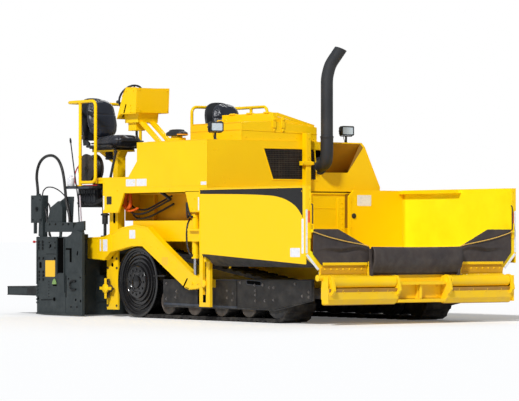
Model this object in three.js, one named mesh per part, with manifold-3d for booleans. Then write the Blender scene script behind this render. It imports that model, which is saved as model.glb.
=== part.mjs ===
// Asphalt paver on rubber tracks. Millimetres, +X forward, +Y left, +Z up, ground at z = 0.
import * as THREE from 'three';
import { mergeVertices } from 'three/addons/utils/BufferGeometryUtils.js';
import { ConvexGeometry } from 'three/addons/geometries/ConvexGeometry.js';
import Module from 'manifold-3d';

const wasm = await Module();
wasm.setup();

// ---- driving dimensions ------------------------------------------------------------------------
const seat = 0.3;                 // gap between faces that rest on each other
const play = 0.35;                // radial play of a pin in its eye
const halfWidth = 1600;           // over the hopper wings and the end gates

const driveAxleX = -1500;         // rear drive wheel
const driveRadius = 450;          // over the belt
const idlerX = 1400;
const idlerRadius = 250;          // over the belt
const beltThickness = 36;
const shoeHeight = 16;
const shoePitch = 200;
const trackInner = 850;
const trackOuter = 1250;
const bogieRadius = 165;
const bogieCount = 4;
const bogieFirstX = -830;
const bogiePitch = 560;
const guardPlate = 22;            // outer side plate of the track frame
const guardGap = 12;

const frameHalf = 780;            // main frame between the tracks
const frameBottom = 280;
const frameTop = 1220;
const bodyRearX = -1930;
const bodyFrontX = 300;           // hopper side of the front wall
const frontWall = 100;
const tunnelHalf = 500;           // conveyor tunnel
const tunnelFloor = 700;
const tunnelTop = 1100;
const tankOuter = 1200;
const tankRecess = 950;
const tankRearX = -1700;
const tankAboveTrack = 60;
const bodyTop = 1565;
const postInner = 1180;
const postOuter = 1285;
const postRearX = -2110;
const postLength = 190;

const hopperRearX = 330;
const hopperLength = 2090;
const hopperFrontX = hopperRearX + hopperLength;
const hopperFloorHalf = 600;
const wingHeight = 1600;
const wingWall = 70;
const wingHingeY = 660;
const wingAboveTrack = 24;        // belt's top to the wing's sill, at the hopper's rear
const wingHingePin = 20;
const wingFloor = 70;             // thickness of the wing's floor at its hinge
const wingSillY = 1370;           // where the wing's floor turns up
const rearPlate = 30;
const flapThickness = 18;

const rollerAhead = 135;          // roller's axle ahead of the hopper's front
const rollerZ = 500;
const rollerRadius = 65;
const rollerShaft = 25;
const rollerInner = 420;
const rollerOuter = 1330;
const beamHalf = 1405;
const beamBottom = 240;

const hoodRearX = -1350;
const hoodFrontX = 200;
const hoodBottom = 1580;
const hoodTop = 2200;
const hoodLeft = 1285;             // foot of the slope on the left
const hoodSkin = 30;
const hoodFrontSkin = 280;
const sideHalf = 1400;            // over the platform's side panels
const sidePanel = 22;

const deckTop = 1760;
const deckThickness = 60;
const deckRearX = -2290;
const panelRearX = -2090;
const shelfRearX = -2900;
const shelfHalf = 1470;
const shelfTop = 1670;
const shelfThickness = 30;

const towRodX = -140;             // tow point: the arm pivots on the cylinder rod's eye
const towPinZ = 470;
const towPin = 25;
const towRod = 22;
const towBarrel = 42;
const towBarrelBottom = 752;
const towBarrelTop = 1300;
const towRollerX = 180;           // roller on the arm's nose, in the guide's slot
const towRollerZ = 450;
const towRoller = 28;
const slotPlay = 9;               // beside the roller, for the arm's swing
const armInner = 1290;
const armOuter = 1370;
const armMiddle = (armInner + armOuter) / 2;
const guideInner = 1384;
const guideOuter = 1424;

const augerGap = 10;              // between the track's rear and the screw
const augerZ = 360;
const augerRadius = 160;
const augerShaft = 45;
const augerInner = 110;
const augerOuter = 1330;
const augerPitch = 300;

const screedFrontX = -2500;
const screedLength = 450;
const screedHalf = 1420;
const screedBottom = 15;
const screedTop = 520;
const extensionGap = 12;
const extensionLength = 390;
const extensionInner = 40;
const endFrame = 30;
const gateThickness = 25;         // end gate with its gap
const gateFrontX = -2240;
const gateTop = 1100;
const gateBottom = 10;
const walkwayLength = 800;
const walkwayTop = 360;
const walkwayThickness = 110;

const coverRearX = -900;
const coverFrontX = 170;
const coverRight = -860;
const coverLeft = 300;
const coverEdgeTop = 2420;
const coverRidgeY = -350;
const coverRidgeTop = 2450;

const exhaustX = 360;
const exhaustY = 310;
const exhaustRadius = 76;
const exhaustTop = 3150;
const railRadius = 21;
const railTop = 2755;

// ---- derived places ----------------------------------------------------------------------------
const tankBottom = 2 * driveRadius + tankAboveTrack;
const trackFall = (2 * (driveRadius - idlerRadius)) / (idlerX - driveAxleX);
const beltTopZ = (x) => Math.round(2 * driveRadius - (x - driveAxleX) * trackFall);
const wingSillZ = beltTopZ(hopperRearX) + wingAboveTrack;
const wingHingeZ = wingSillZ + 18;
const wingCornerZ = wingSillZ + 158;
const wingSkirtZ = wingSillZ + 34;      // lowest point of the outer panel, at the front
const sillBottom = wingSillZ - 98;
const sillTop = wingSillZ + 13;
const rollerX = hopperFrontX + rollerAhead;
const augerX = driveAxleX - driveRadius - augerGap - augerRadius;
const liftX = augerX - 170;             // screed lift cylinders
const pedestalTop = deckTop + 370;      // under the seats
const extensionFrontX = screedFrontX - screedLength - extensionGap;
const extensionRearX = extensionFrontX - extensionLength;
const walkwayFrontX = extensionRearX - 15;
const tailX = walkwayFrontX - walkwayLength;
const noseX = rollerX + rollerRadius;
const endFrameOuter = halfWidth - gateThickness;
const endFrameInner = endFrameOuter - endFrame;

// ---- finishes ----------------------------------------------------------------------------------
const finish = (color, roughness, metalness) =>
  new THREE.MeshStandardMaterial({ color, roughness, metalness });
const yellow = finish(0xf7b90a, 0.42, 0.0);
const charcoal = finish(0x2b2f31, 0.55, 0.0);
const screedGrey = finish(0x333b3b, 0.6, 0.0);
const rubber = finish(0x1b1b1c, 0.85, 0.0);
const darkRubber = finish(0x2a2522, 0.8, 0.0);
const pipeBlack = finish(0x2f2d2e, 0.6, 0.3);
const vinyl = finish(0x17191d, 0.45, 0.0);
const steel = finish(0xa9abad, 0.3, 0.9);
const ironGrey = finish(0x4a4a4a, 0.6, 0.5);
const ropeYellow = finish(0xd9a52e, 0.8, 0.0);
const hoseRed = finish(0xc3202a, 0.5, 0.0);
const hoseBlack = finish(0x141414, 0.55, 0.0);
const lampBlack = finish(0x15171a, 0.4, 0.0);

// ---- geometry helpers --------------------------------------------------------------------------
const box = (x0, x1, y0, y1, z0, z1) => {
  const geometry = new THREE.BoxGeometry(x1 - x0, y1 - y0, z1 - z0);
  return geometry.translate((x0 + x1) / 2, (y0 + y1) / 2, (z0 + z1) / 2);
};

const outline = (points) => new THREE.Shape(points.map(([a, b]) => new THREE.Vector2(a, b)));

const plate = (shape, depth) =>
  new THREE.ExtrudeGeometry(shape, { depth, bevelEnabled: false, curveSegments: 10 });

// A side-view outline of (x, z) points, carried across from y0 to y1.
const sideProfile = (points, y0, y1) =>
  plate(outline(points), y1 - y0).rotateX(Math.PI / 2).translate(0, y1, 0);

// A front-view outline of (y, z) points, carried along from x0 to x1.
const frontProfile = (points, x0, x1) => {
  const turn = new THREE.Matrix4().makeBasis(
    new THREE.Vector3(0, 1, 0), new THREE.Vector3(0, 0, 1), new THREE.Vector3(1, 0, 0));
  return plate(outline(points), x1 - x0).applyMatrix4(turn).translate(x0, 0, 0);
};

// A turned piece about an axle along Y: (radius, y) points, from low y round the outside to high y.
const turned = (points, x, z, segments = 24) => {
  const profile = points.map(([r, y]) => new THREE.Vector2(r, y));
  return new THREE.LatheGeometry(profile, segments).translate(x, 0, z);
};

// A bore whose flats leave the named play round a pin.
const boreRadius = (pin, sides) => (pin + play) / Math.cos(Math.PI / sides);

const drum = (radius, y0, y1, x, z, segments = 20) =>
  turned([[0, y0], [radius, y0], [radius, y1], [0, y1]], x, z, segments);

const rod = (from, to, radius, segments = 16) => {
  const start = new THREE.Vector3(...from);
  const end = new THREE.Vector3(...to);
  const way = end.clone().sub(start);
  const geometry = new THREE.CylinderGeometry(radius, radius, way.length(), segments);
  const up = new THREE.Vector3(0, 1, 0);
  const turn = new THREE.Quaternion().setFromUnitVectors(up, way.clone().normalize());
  const middle = start.add(end).multiplyScalar(0.5);
  return geometry.applyQuaternion(turn).translate(middle.x, middle.y, middle.z);
};

const circle = (radius, sides) =>
  outline(Array.from({ length: sides }, (_, i) => {
    const angle = (2 * Math.PI * i) / sides;
    return [radius * Math.cos(angle), radius * Math.sin(angle)];
  }));

// A round bar of the given radius along a smooth curve through the points.
const hose = (points, radius, steps, sides = 8) => {
  const path = new THREE.CatmullRomCurve3(points.map((p) => new THREE.Vector3(...p)));
  return new THREE.ExtrudeGeometry(circle(radius, sides), { steps, extrudePath: path });
};

// A bent round tube: straight runs between the points, with each corner rounded by the bend radius.
const bentTube = (points, radius, bend) => {
  const corners = points.map((p) => new THREE.Vector3(...p));
  const stations = [corners[0]];
  for (let i = 1; i < corners.length - 1; i += 1) {
    const before = corners[i - 1].clone().sub(corners[i]).setLength(bend).add(corners[i]);
    const after = corners[i + 1].clone().sub(corners[i]).setLength(bend).add(corners[i]);
    stations.push(...new THREE.QuadraticBezierCurve3(before, corners[i], after).getPoints(3));
  }
  stations.push(corners[corners.length - 1]);
  return sweepStations(stations, radius, 8);
};

// Rings of points, one at each station and square to the path there, skinned and capped.
function sweepStations(stations, radius, sides) {
  const last = stations.length - 1;
  const positions = [];
  const index = [];
  let side = new THREE.Vector3();
  stations.forEach((station, i) => {
    const ahead = stations[Math.min(i + 1, last)];
    const behind = stations[Math.max(i - 1, 0)];
    const along = ahead.clone().sub(behind).normalize();
    if (i === 0) {
      const guess = Math.abs(along.z) > 0.9 ? new THREE.Vector3(1, 0, 0) : new THREE.Vector3(0, 0, 1);
      side = guess.cross(along).normalize();
    } else {
      side = side.addScaledVector(along, -side.dot(along)).normalize();
    }
    const up = along.clone().cross(side);
    for (let k = 0; k < sides; k += 1) {
      const angle = (2 * Math.PI * k) / sides;
      const point = station.clone();
      point.addScaledVector(side, radius * Math.cos(angle));
      point.addScaledVector(up, radius * Math.sin(angle));
      positions.push(point.x, point.y, point.z);
    }
  });
  for (let i = 0; i < last; i += 1) {
    for (let k = 0; k < sides; k += 1) {
      const a = i * sides + k;
      const b = i * sides + ((k + 1) % sides);
      index.push(a, b, b + sides, a, b + sides, a + sides);
    }
  }
  for (let k = 1; k < sides - 1; k += 1) {
    index.push(0, k + 1, k);
    index.push(last * sides, last * sides + k, last * sides + k + 1);
  }
  const geometry = new THREE.BufferGeometry();
  geometry.setAttribute('position', new THREE.Float32BufferAttribute(positions, 3));
  geometry.setIndex(index);
  return geometry;
}

const toManifold = (geometry) => {
  const bare = geometry.clone();
  bare.deleteAttribute('normal');
  bare.deleteAttribute('uv');
  const merged = mergeVertices(bare, 1e-3);
  return new wasm.Manifold(new wasm.Mesh({
    numProp: 3,
    vertProperties: new Float32Array(merged.attributes.position.array),
    triVerts: new Uint32Array(merged.index.array),
  }));
};

const toGeometry = (manifold) => {
  const mesh = manifold.getMesh();
  const geometry = new THREE.BufferGeometry();
  geometry.setAttribute('position', new THREE.Float32BufferAttribute(mesh.vertProperties, 3));
  geometry.setIndex(Array.from(mesh.triVerts));
  return geometry;
};

const join = (...pieces) => toGeometry(pieces.map(toManifold).reduce((sum, piece) => sum.add(piece)));

const cut = (body, ...tools) =>
  toGeometry(tools.map(toManifold).reduce((left, tool) => left.subtract(tool), toManifold(body)));

// The same piece on the other side of the machine: y changes sign and the faces turn round.
const mirrored = (geometry) => {
  const copy = geometry.clone().applyMatrix4(new THREE.Matrix4().makeScale(1, -1, 1));
  if (copy.index) {
    const order = copy.index.array;
    for (let i = 0; i < order.length; i += 3) {
      [order[i + 1], order[i + 2]] = [order[i + 2], order[i + 1]];
    }
    return copy;
  }
  const spots = copy.attributes.position.array;
  for (let i = 0; i < spots.length; i += 9) {
    for (let k = 0; k < 3; k += 1) {
      [spots[i + 3 + k], spots[i + 6 + k]] = [spots[i + 6 + k], spots[i + 3 + k]];
    }
  }
  return copy;
};

// ---- scene graph -------------------------------------------------------------------------------
const machine = new THREE.Group();
machine.position.x = -(noseX + tailX) / 2;

const add = (name, geometry, material) => {
  const mesh = new THREE.Mesh(geometry, material);
  mesh.name = name;
  machine.add(mesh);
};

// Left pieces are built at +Y; the right one is the mirror image.
const addPair = (name, geometry, material) => {
  add(`${name}_left`, geometry, material);
  add(`${name}_right`, mirrored(geometry), material);
};

// ---- tracks ------------------------------------------------------------------------------------
// The two wheels with a tangent strap round them, grown by `grow` from the belt's inner face.
function strapOutline(grow, steps = 12) {
  const rear = driveRadius - shoeHeight - beltThickness + grow;
  const front = idlerRadius - shoeHeight - beltThickness + grow;
  const span = idlerX - driveAxleX;
  const drop = driveRadius - idlerRadius;
  const length = Math.hypot(span, drop);
  const tilt = Math.atan2(drop, span);
  const wrap = Math.asin((rear - front) / length);
  const topAngle = Math.PI / 2 - tilt - wrap;
  const rearTurn = 1.5 * Math.PI - topAngle;
  const frontTurn = topAngle + Math.PI / 2;
  const clearsWheels = grow === 0;      // the inner outline clears the round wheels with its flats
  const rearReach = clearsWheels ? rear / Math.cos(rearTurn / steps / 2) : rear;
  const frontReach = clearsWheels ? front / Math.cos(frontTurn / steps / 2) : front;
  const points = [];
  for (let i = 0; i <= steps; i += 1) {
    const angle = topAngle + (rearTurn * i) / steps;
    points.push([driveAxleX + rearReach * Math.cos(angle), driveRadius + rearReach * Math.sin(angle)]);
  }
  for (let i = 0; i <= steps; i += 1) {
    const angle = -Math.PI / 2 + (frontTurn * i) / steps;
    points.push([idlerX + frontReach * Math.cos(angle), idlerRadius + frontReach * Math.sin(angle)]);
  }
  return points;
}

// Shoes stand out of the outer outline: every second stretch of the loop is pushed out.
function shoedOutline() {
  const base = strapOutline(beltThickness, 16).map(([x, z]) => new THREE.Vector2(x, z));
  base.push(base[0].clone());
  const lengths = [0];
  for (let i = 1; i < base.length; i += 1) {
    lengths.push(lengths[i - 1] + base[i].distanceTo(base[i - 1]));
  }
  const total = lengths[lengths.length - 1];
  const at = (distance) => {
    const wrapped = ((distance % total) + total) % total;
    let i = 1;
    while (lengths[i] < wrapped) i += 1;
    const share = (wrapped - lengths[i - 1]) / (lengths[i] - lengths[i - 1]);
    const spot = base[i - 1].clone().lerp(base[i], share);
    const way = base[i].clone().sub(base[i - 1]).normalize();
    return { spot, out: new THREE.Vector2(way.y, -way.x) };
  };
  const count = Math.round(total / shoePitch);
  const pitch = total / count;
  const points = [];
  for (let i = 0; i < count; i += 1) {
    [[0.05, 0], [0.12, 1], [0.58, 1], [0.65, 0]].forEach(([share, raised]) => {
      const { spot, out } = at((i + share) * pitch);
      spot.addScaledVector(out, raised * shoeHeight);
      points.push([spot.x, spot.y]);
    });
  }
  return points;
}

function trackBelt() {
  const shape = outline(shoedOutline());
  shape.holes.push(new THREE.Path(strapOutline(0).map(([x, z]) => new THREE.Vector2(x, z))));
  return plate(shape, trackOuter - trackInner).rotateX(Math.PI / 2).translate(0, trackOuter, 0);
}

function driveWheel() {
  const r = driveRadius - shoeHeight - beltThickness - seat;
  const middle = (trackInner + trackOuter) / 2;
  const dish = [
    [0, trackInner + 60], [r - 90, trackInner + 60], [r - 70, trackInner + 4], [r, trackInner + 4],
    [r, trackOuter - 4], [r - 26, trackOuter - 4], [r - 40, trackOuter - 30],
    [r - 95, middle + 70], [r - 130, middle - 10], [150, middle - 30],
    [150, middle + 60], [110, middle + 110], [0, middle + 110],
  ];
  const wheel = turned(dish, driveAxleX, driveRadius, 24);
  return join(wheel, drum(120, frameHalf + seat, trackInner + 80, driveAxleX, driveRadius, 16));
}

function trackFrame() {
  const runZ = shoeHeight + beltThickness;
  const inner = trackInner + 8;
  const outer = trackOuter - 8;
  const middle = (inner + outer) / 2;
  const plateInner = trackOuter + guardGap;
  const plateOuter = plateInner + guardPlate;
  const bogieZ = runZ + seat + bogieRadius;
  const idlerWheel = idlerRadius - shoeHeight - beltThickness - seat;
  const beamZ = bogieZ + bogieRadius + 20;
  const beamTop = beamZ + 70;
  const pieces = [];
  for (let i = 0; i < bogieCount; i += 1) {
    const x = bogieFirstX + i * bogiePitch;
    pieces.push(drum(bogieRadius, inner, middle - 25, x, bogieZ, 14));
    pieces.push(drum(bogieRadius, middle + 25, outer, x, bogieZ, 14));
    pieces.push(drum(45, middle - 30, middle + 30, x, bogieZ, 8));
  }
  const beamFrontX = idlerX - 280;
  pieces.push(sideProfile([
    [bogieFirstX - 70, bogieZ - 40], [bogieFirstX + 3 * bogiePitch + 70, bogieZ - 40],
    [beamFrontX, beamZ], [beamFrontX, beamTop], [bogieFirstX - 70, beamTop],
  ], middle - 20, middle + 20));
  pieces.push(box(bogieFirstX - 70, beamFrontX, frameHalf + seat, plateInner + 1, beamZ, beamTop));
  pieces.push(drum(idlerWheel, inner, outer, idlerX, idlerRadius, 18));
  pieces.push(drum(70, outer - 5, plateInner + 1, idlerX, idlerRadius, 10));
  const tipX = idlerX + 750;
  pieces.push(sideProfile([
    [-900, 150], [1450, 150], [tipX, 280], [tipX, 525], [-900, 490],
  ], plateInner, plateOuter));
  pieces.push(box(idlerX + 330, tipX - 30, frameHalf + seat, plateInner + 1, 300, 420));
  return join(...pieces);
}

addPair('track_belt', trackBelt(), rubber);
addPair('drive_wheel', driveWheel(), rubber);
addPair('track_frame', trackFrame(), charcoal);

// ---- main frame --------------------------------------------------------------------------------
function mainFrame() {
  const hopperEnd = hopperFrontX - 20;
  const lugFront = hopperFrontX + 5;
  const bracketTop = tankBottom + 130;
  const pieces = [
    box(bodyRearX, bodyFrontX, -frameHalf, frameHalf, frameBottom, frameTop),
    box(bodyFrontX - 1, hopperEnd, -hopperFloorHalf, hopperFloorHalf, frameBottom, tunnelFloor),
    box(bodyFrontX - frontWall, bodyFrontX, -tankOuter, tankOuter, 1000, bodyTop),
    box(postRearX, bodyRearX + 1, -postOuter, postOuter, tankBottom, tankBottom + 140),
    box(hopperEnd - 60, lugFront + 30, -wingHingeY - 45, wingHingeY + 45, frameBottom, sillBottom - 10),
    box(hopperEnd - 1, lugFront + 30, -hopperFloorHalf, hopperFloorHalf, frameBottom, sillTop),
    box(lugFront + 29, hopperFrontX + 45 - seat, 60 - hopperFloorHalf, hopperFloorHalf - 60, 610, 680),
  ];
  [-1, 1].forEach((side) => {
    const across = (y0, y1) => (side > 0 ? [y0, y1] : [-y1, -y0]);
    pieces.push(box(tankRearX, bodyFrontX - 1, ...across(frameHalf - 1, tankOuter), tankBottom, frameTop));
    pieces.push(box(tankRearX, bodyFrontX - 1, ...across(600, tankRecess), frameTop - 1, bodyTop));
    pieces.push(box(postRearX, postRearX + postLength, ...across(postInner, postOuter),
      tankBottom, deckTop - deckThickness - seat));
    pieces.push(box(-180, bodyFrontX, ...across(tankOuter - 1, guideInner - seat), tankBottom, bracketTop));
    pieces.push(box(lugFront, lugFront + 30, ...across(wingHingeY - 70, wingHingeY + 45),
      sillBottom - 30, wingHingeZ + 40));
    pieces.push(rod([bodyFrontX - 20, side * wingHingeY, wingHingeZ],
      [lugFront + 10, side * wingHingeY, wingHingeZ], wingHingePin, 12));
  });
  const holes = [-1, 1].map((side) =>
    rod([towRodX, side * armMiddle, tankBottom - 10], [towRodX, side * armMiddle, bracketTop + 10],
      towBarrel + 2, 16));
  const tunnel = box(bodyRearX - 500, bodyFrontX + 1, -tunnelHalf, tunnelHalf, tunnelFloor, tunnelTop);
  return cut(join(...pieces), tunnel, ...holes);
}

add('main_frame', mainFrame(), yellow);
add('engine_block', box(-1150, -150, -420, 420, frameTop + seat, 1900), ironGrey);
add('gate_post', join(
  box(hoodFrontX + seat, hoodFrontX + 80, 45, 125, bodyTop + seat, 2300),
  box(hoodFrontX + seat, hoodFrontX + 90, 0, 135, 1900, 1955),
), yellow);

// ---- hopper ------------------------------------------------------------------------------------
const ropeEyeY = halfWidth - wingWall;
const ropeEyeZ = 1082;
const ropeEyeRadius = 10;

const wingSection = [
  [wingHingeY - 22, wingHingeZ - wingFloor / 2], [wingSillY, wingSillZ], [halfWidth, wingCornerZ],
  [halfWidth, wingHeight], [halfWidth - wingWall, wingHeight],
  [halfWidth - wingWall, wingCornerZ + 30], [wingSillY - 20, wingSillZ + wingFloor],
  [wingHingeY - 22, wingHingeZ + wingFloor / 2],
];

function wing() {
  const inner = halfWidth - wingWall;
  const shell = frontProfile(wingSection, hopperRearX, hopperFrontX);
  const back = frontProfile([
    [wingHingeY, wingHingeZ + 30], [inner + 5, wingHingeZ + 30], [inner + 5, wingHeight],
    [wingHingeY + 80, wingHeight], [wingHingeY, wingHeight - 80],
  ], hopperRearX, hopperRearX + rearPlate);
  const lip = box(hopperRearX, hopperRearX + 1150, inner - 70, inner + 5, wingHeight - 45, wingHeight);
  const sill = frontProfile([
    [wingHingeY + 50, sillBottom], [wingSillY + 15, sillBottom], [wingSillY + 20, 640],
    [halfWidth, wingCornerZ - 40], [halfWidth, wingCornerZ + 20], [wingHingeY + 50, wingHingeZ],
  ], hopperFrontX - 30, hopperFrontX);
  const skirt = sideProfile([
    [hopperRearX, wingCornerZ + 10], [hopperRearX, wingCornerZ - 10], [hopperFrontX - 1, wingSkirtZ],
    [hopperFrontX - 1, wingCornerZ + 10],
  ], halfWidth - 12, halfWidth);
  const ring = rod([hopperFrontX - 5, ropeEyeY, ropeEyeZ], [hopperFrontX + 42, ropeEyeY, ropeEyeZ],
    ropeEyeRadius, 12);
  const bore = rod([hopperRearX - 10, wingHingeY, wingHingeZ], [hopperFrontX + 10, wingHingeY, wingHingeZ],
    boreRadius(wingHingePin, 18), 18);
  return cut(join(shell, back, lip, sill, skirt, ring), bore);
}

function sideFlap() {
  const front = hopperFrontX + seat;
  return frontProfile([
    [wingHingeY + 75, sillTop + 5], [wingSillY, sillTop + 5], [1500, wingCornerZ],
    [1500, 1085], [1140, 1100], [wingHingeY + 20, 905], [wingHingeY + 20, sillTop + 110],
  ], front, front + flapThickness);
}

addPair('hopper_wing', wing(), yellow);
addPair('side_flap', sideFlap(), rubber);

const centreFlapX = hopperFrontX + 45;

// Folded-over rubber sheet across the middle of the hopper's mouth: a closed drop in side view.
function centreFlap() {
  const backX = centreFlapX;
  const half = wingHingeY + 20;
  return sideProfile([
    [backX + 20, 600], [backX + 62, 700], [backX + 92, 790], [backX + 84, 862], [backX + 48, 900],
    [backX + 12, 880], [backX, 800], [backX, 600],
  ], -half, half);
}

add('centre_flap', centreFlap(), darkRubber);

// Rope from the ring on the wing's front corner down to the side flap's inner corner.
const ropePoints = [
  [2449, 1519.6, 1080], [2449, 1480, 1068], [2449, 1420, 1050], [2449, 1340, 1029], [2449, 1260, 1010],
  [2449, 1180, 993], [2449, 1100, 978], [2449, 1020, 964], [2449, 940, 951], [2448, 870, 940],
  [2447, 800, 929], [2446, 750, 920], [2445, 715, 911], [2445, 695, 904],
];
const ropeRadius = 6;

addPair('hopper_rope', hose(ropePoints, ropeRadius, 14, 8), ropeYellow);

// ---- push rollers ------------------------------------------------------------------------------
function rollerBeam() {
  const rearX = hopperFrontX + 35 + seat;
  const faceX = rollerX - rollerRadius - 14;
  const pieces = [box(rearX, faceX, -beamHalf, beamHalf, 300, 540)];
  [-1, 1].forEach((side) => {
    const across = (y0, y1) => (side > 0 ? [y0, y1] : [-y1, -y0]);
    const skirt = [
      [faceX - 1, beamBottom], [rollerX - 30, beamBottom], [rollerX + 30, 300],
      [rollerX + 50, rollerZ - rollerRadius - 10], [faceX - 1, rollerZ - rollerRadius - 10],
    ];
    pieces.push(sideProfile(skirt, ...across(rollerInner - 50, beamHalf)));
    [[rollerInner - 50, rollerInner - 8], [rollerOuter + 8, rollerOuter + 50]].forEach(([y0, y1]) => {
      const ear = [
        [faceX - 1, 380], [rollerX + 55, 420], [rollerX + 45, rollerZ + 40], [rollerX, rollerZ + 62],
        [faceX - 1, 535],
      ];
      pieces.push(sideProfile(ear, ...across(y0, y1)));
    });
  });
  pieces.push(box(faceX - 1, faceX + 60, -rollerInner + 45, rollerInner - 45, 455, 500));
  pieces.push(box(faceX - 1, faceX + 60, -rollerInner + 45, rollerInner - 45, 250, 295));
  pieces.push(box(faceX - 1, faceX + 50, -30, 30, 250, 480));
  const shaftHole = rod([rollerX, -beamHalf - 50, rollerZ], [rollerX, beamHalf + 50, rollerZ],
    boreRadius(rollerShaft, 16), 16);
  return cut(join(...pieces), shaftHole);
}

add('roller_beam', rollerBeam(), yellow);

addPair('push_roller', turned([
  [0, rollerInner - 45], [rollerShaft, rollerInner - 45], [rollerShaft, rollerInner],
  [rollerRadius, rollerInner], [rollerRadius, rollerOuter], [rollerShaft, rollerOuter],
  [rollerShaft, rollerOuter + 45], [0, rollerOuter + 45],
], rollerX, rollerZ, 16), yellow);

// ---- hood, cover and grille --------------------------------------------------------------------
const hoodHalf = sideHalf - sidePanel - seat;
const hoodSection = (inset) => [
  [-hoodHalf + inset, hoodBottom - 5 * inset], [hoodLeft - inset, hoodBottom - 5 * inset],
  [hoodLeft - inset, 1640], [1038 - inset, 2147 - inset / 2],
  [985 - inset, hoodTop - inset], [-hoodHalf + inset, hoodTop - inset],
];
const grilleCorners = [[-400, 1730], [262, 1730], [225, 2100], [-540, 2100]];
const grow = (points, by) => {
  const middle = points.reduce(([a, b], [c, d]) => [a + c / points.length, b + d / points.length], [0, 0]);
  return points.map(([a, b]) => [a + Math.sign(a - middle[0]) * by, b + Math.sign(b - middle[1]) * by]);
};

function hood() {
  const shell = frontProfile(hoodSection(0), hoodRearX, hoodFrontX);
  const room = frontProfile(hoodSection(hoodSkin), hoodRearX + hoodSkin, hoodFrontX - hoodFrontSkin);
  const grilleWell = frontProfile(grow(grilleCorners, seat), hoodFrontX - 60, hoodFrontX + 1);
  const exhaustWell = box(hoodFrontX - 140, hoodFrontX + 1, 228, 480, 1820, 2100);
  const corners = [
    [hoodFrontX + 1, 960, 2188], [hoodFrontX + 1, 1010, 2140], [hoodFrontX + 1, 760, 1820],
    [hoodFrontX + 1, 479, 1820], [hoodFrontX + 1, 479, 2188],
    [hoodFrontX - 240, 479, 1820], [hoodFrontX - 240, 940, 1820],
  ];
  const pocket = new ConvexGeometry(corners.map((p) => new THREE.Vector3(...p)));
  const hatchWell = box(-840, hoodFrontX - hoodFrontSkin - 20, -300, 240,
    hoodTop - 2 * hoodSkin, hoodTop + 1);
  return cut(shell, room, grilleWell, exhaustWell, pocket, hatchWell);
}

add('hood', hood(), yellow);
add('grille', frontProfile(grilleCorners, hoodFrontX - 50, hoodFrontX - 10), charcoal);

function engineCover() {
  const base = hoodTop + seat;
  const body = frontProfile([
    [coverRight, base], [coverLeft, base], [coverLeft, 2380], [coverRidgeY, 2440],
    [coverRidgeY - 15, coverRidgeTop], [coverRight, coverEdgeTop],
  ], coverRearX, coverFrontX);
  return cut(body, box(-840, -100, -300, 240, base - 10, 2600));
}

function hatch() {
  return frontProfile([
    [coverRidgeY + seat, 2440 + seat], [coverLeft, 2380 + seat], [coverLeft, 2404],
    [coverRidgeY + 70, 2500], [coverRidgeY + 70, 2553], [coverRidgeY + seat, 2553],
  ], -950, 120);
}

add('engine_cover', engineCover(), yellow);
add('engine_hatch', hatch(), yellow);

// ---- exhaust -----------------------------------------------------------------------------------
const exhaustRoute = [
  [hoodFrontX - 140 + seat, 326, 1900], [250, 326, 1900], [310, 321, 1915], [345, 313, 1960],
  [exhaustX, exhaustY, 2040], [exhaustX, exhaustY, 2600], [exhaustX, exhaustY, exhaustTop - 150],
  [368, 318, exhaustTop - 60], [392, 340, exhaustTop + 35], [430, 370, exhaustTop + 105],
  [468, 398, exhaustTop + 160],
];
add('exhaust_pipe', sweepStations(
  exhaustRoute.map((p) => new THREE.Vector3(...p)), exhaustRadius, 12), pipeBlack);

// ---- operator's platform -----------------------------------------------------------------------
const rightSeatY = 1080;
const leftSeatY = 920;             // the left seat stands further in
const seatHalf = 260;

function platform() {
  const panelInner = sideHalf - sidePanel;
  const deckZ = deckTop - deckThickness;
  const panelLow = 1565;
  const right = [
    [panelRearX, deckTop], [panelRearX, 1320], [panelRearX + 350, 1320], [panelRearX + 480, panelLow],
    [-260, panelLow], [-160, 1320], [40, 1320], [60, panelLow], [hoodFrontX, panelLow],
    [hoodFrontX, hoodTop], [-1080, hoodTop], [-1520, deckTop],
  ];
  const left = [
    [panelRearX, deckTop], [panelRearX, 1320], [panelRearX + 350, 1320], [panelRearX + 480, panelLow],
    [hoodRearX - 70, panelLow], [hoodRearX - 70, deckTop],
  ];
  const pieces = [
    box(deckRearX, hoodRearX - seat, -panelInner - 1, panelInner + 1, deckZ, deckTop),
    sideProfile(right, -sideHalf, -panelInner),
    sideProfile(left, panelInner, sideHalf),
  ];
  [-1, 1].forEach((side) => {
    const middle = side > 0 ? leftSeatY : -rightSeatY;
    const column = [
      [-2250, deckTop - 1], [-2140, deckTop - 1], [-2140, pedestalTop - 90], [-2090, pedestalTop - 20],
      [-2090, pedestalTop], [-2570, pedestalTop], [-2570, pedestalTop - 20], [-2250, pedestalTop - 170],
    ];
    pieces.push(sideProfile(column, middle - 60, middle + 60));
    pieces.push(box(-2570, -2090, middle - 170, middle + 170, pedestalTop - 20, pedestalTop));
  });
  return join(...pieces);
}

add('operator_platform', platform(), yellow);

function rearShelf() {
  const top = shelfTop;
  const low = shelfTop - shelfThickness;
  return join(
    box(shelfRearX, deckRearX + 60, -shelfHalf, shelfHalf, low, top),
    box(-2780, liftX - 40, -1330, -830, 1400, low + 1),
    box(-2780, liftX - 40, 830, 1330, 1400, low + 1),
    box(deckRearX + 20, deckRearX + 60, -shelfHalf + 100, shelfHalf - 100,
      low, deckTop - deckThickness - seat),
  );
}

add('rear_shelf', rearShelf(), charcoal);

function seatShell(middle) {
  return sideProfile([
    [-2060, 30], [-2030, 110], [-2110, 180], [-2400, 145], [-2600, 170], [-2670, 430],
    [-2690, 700], [-2770, 705], [-2800, 510], [-2760, 120], [-2680, seat], [-2090, seat],
  ].map(([x, height]) => [x, pedestalTop + height]), middle - seatHalf, middle + seatHalf);
}

add('seat_left', seatShell(leftSeatY), vinyl);
add('seat_right', seatShell(-rightSeatY), vinyl);

const railX = -2865;
const railFootX = -2560;

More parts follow.
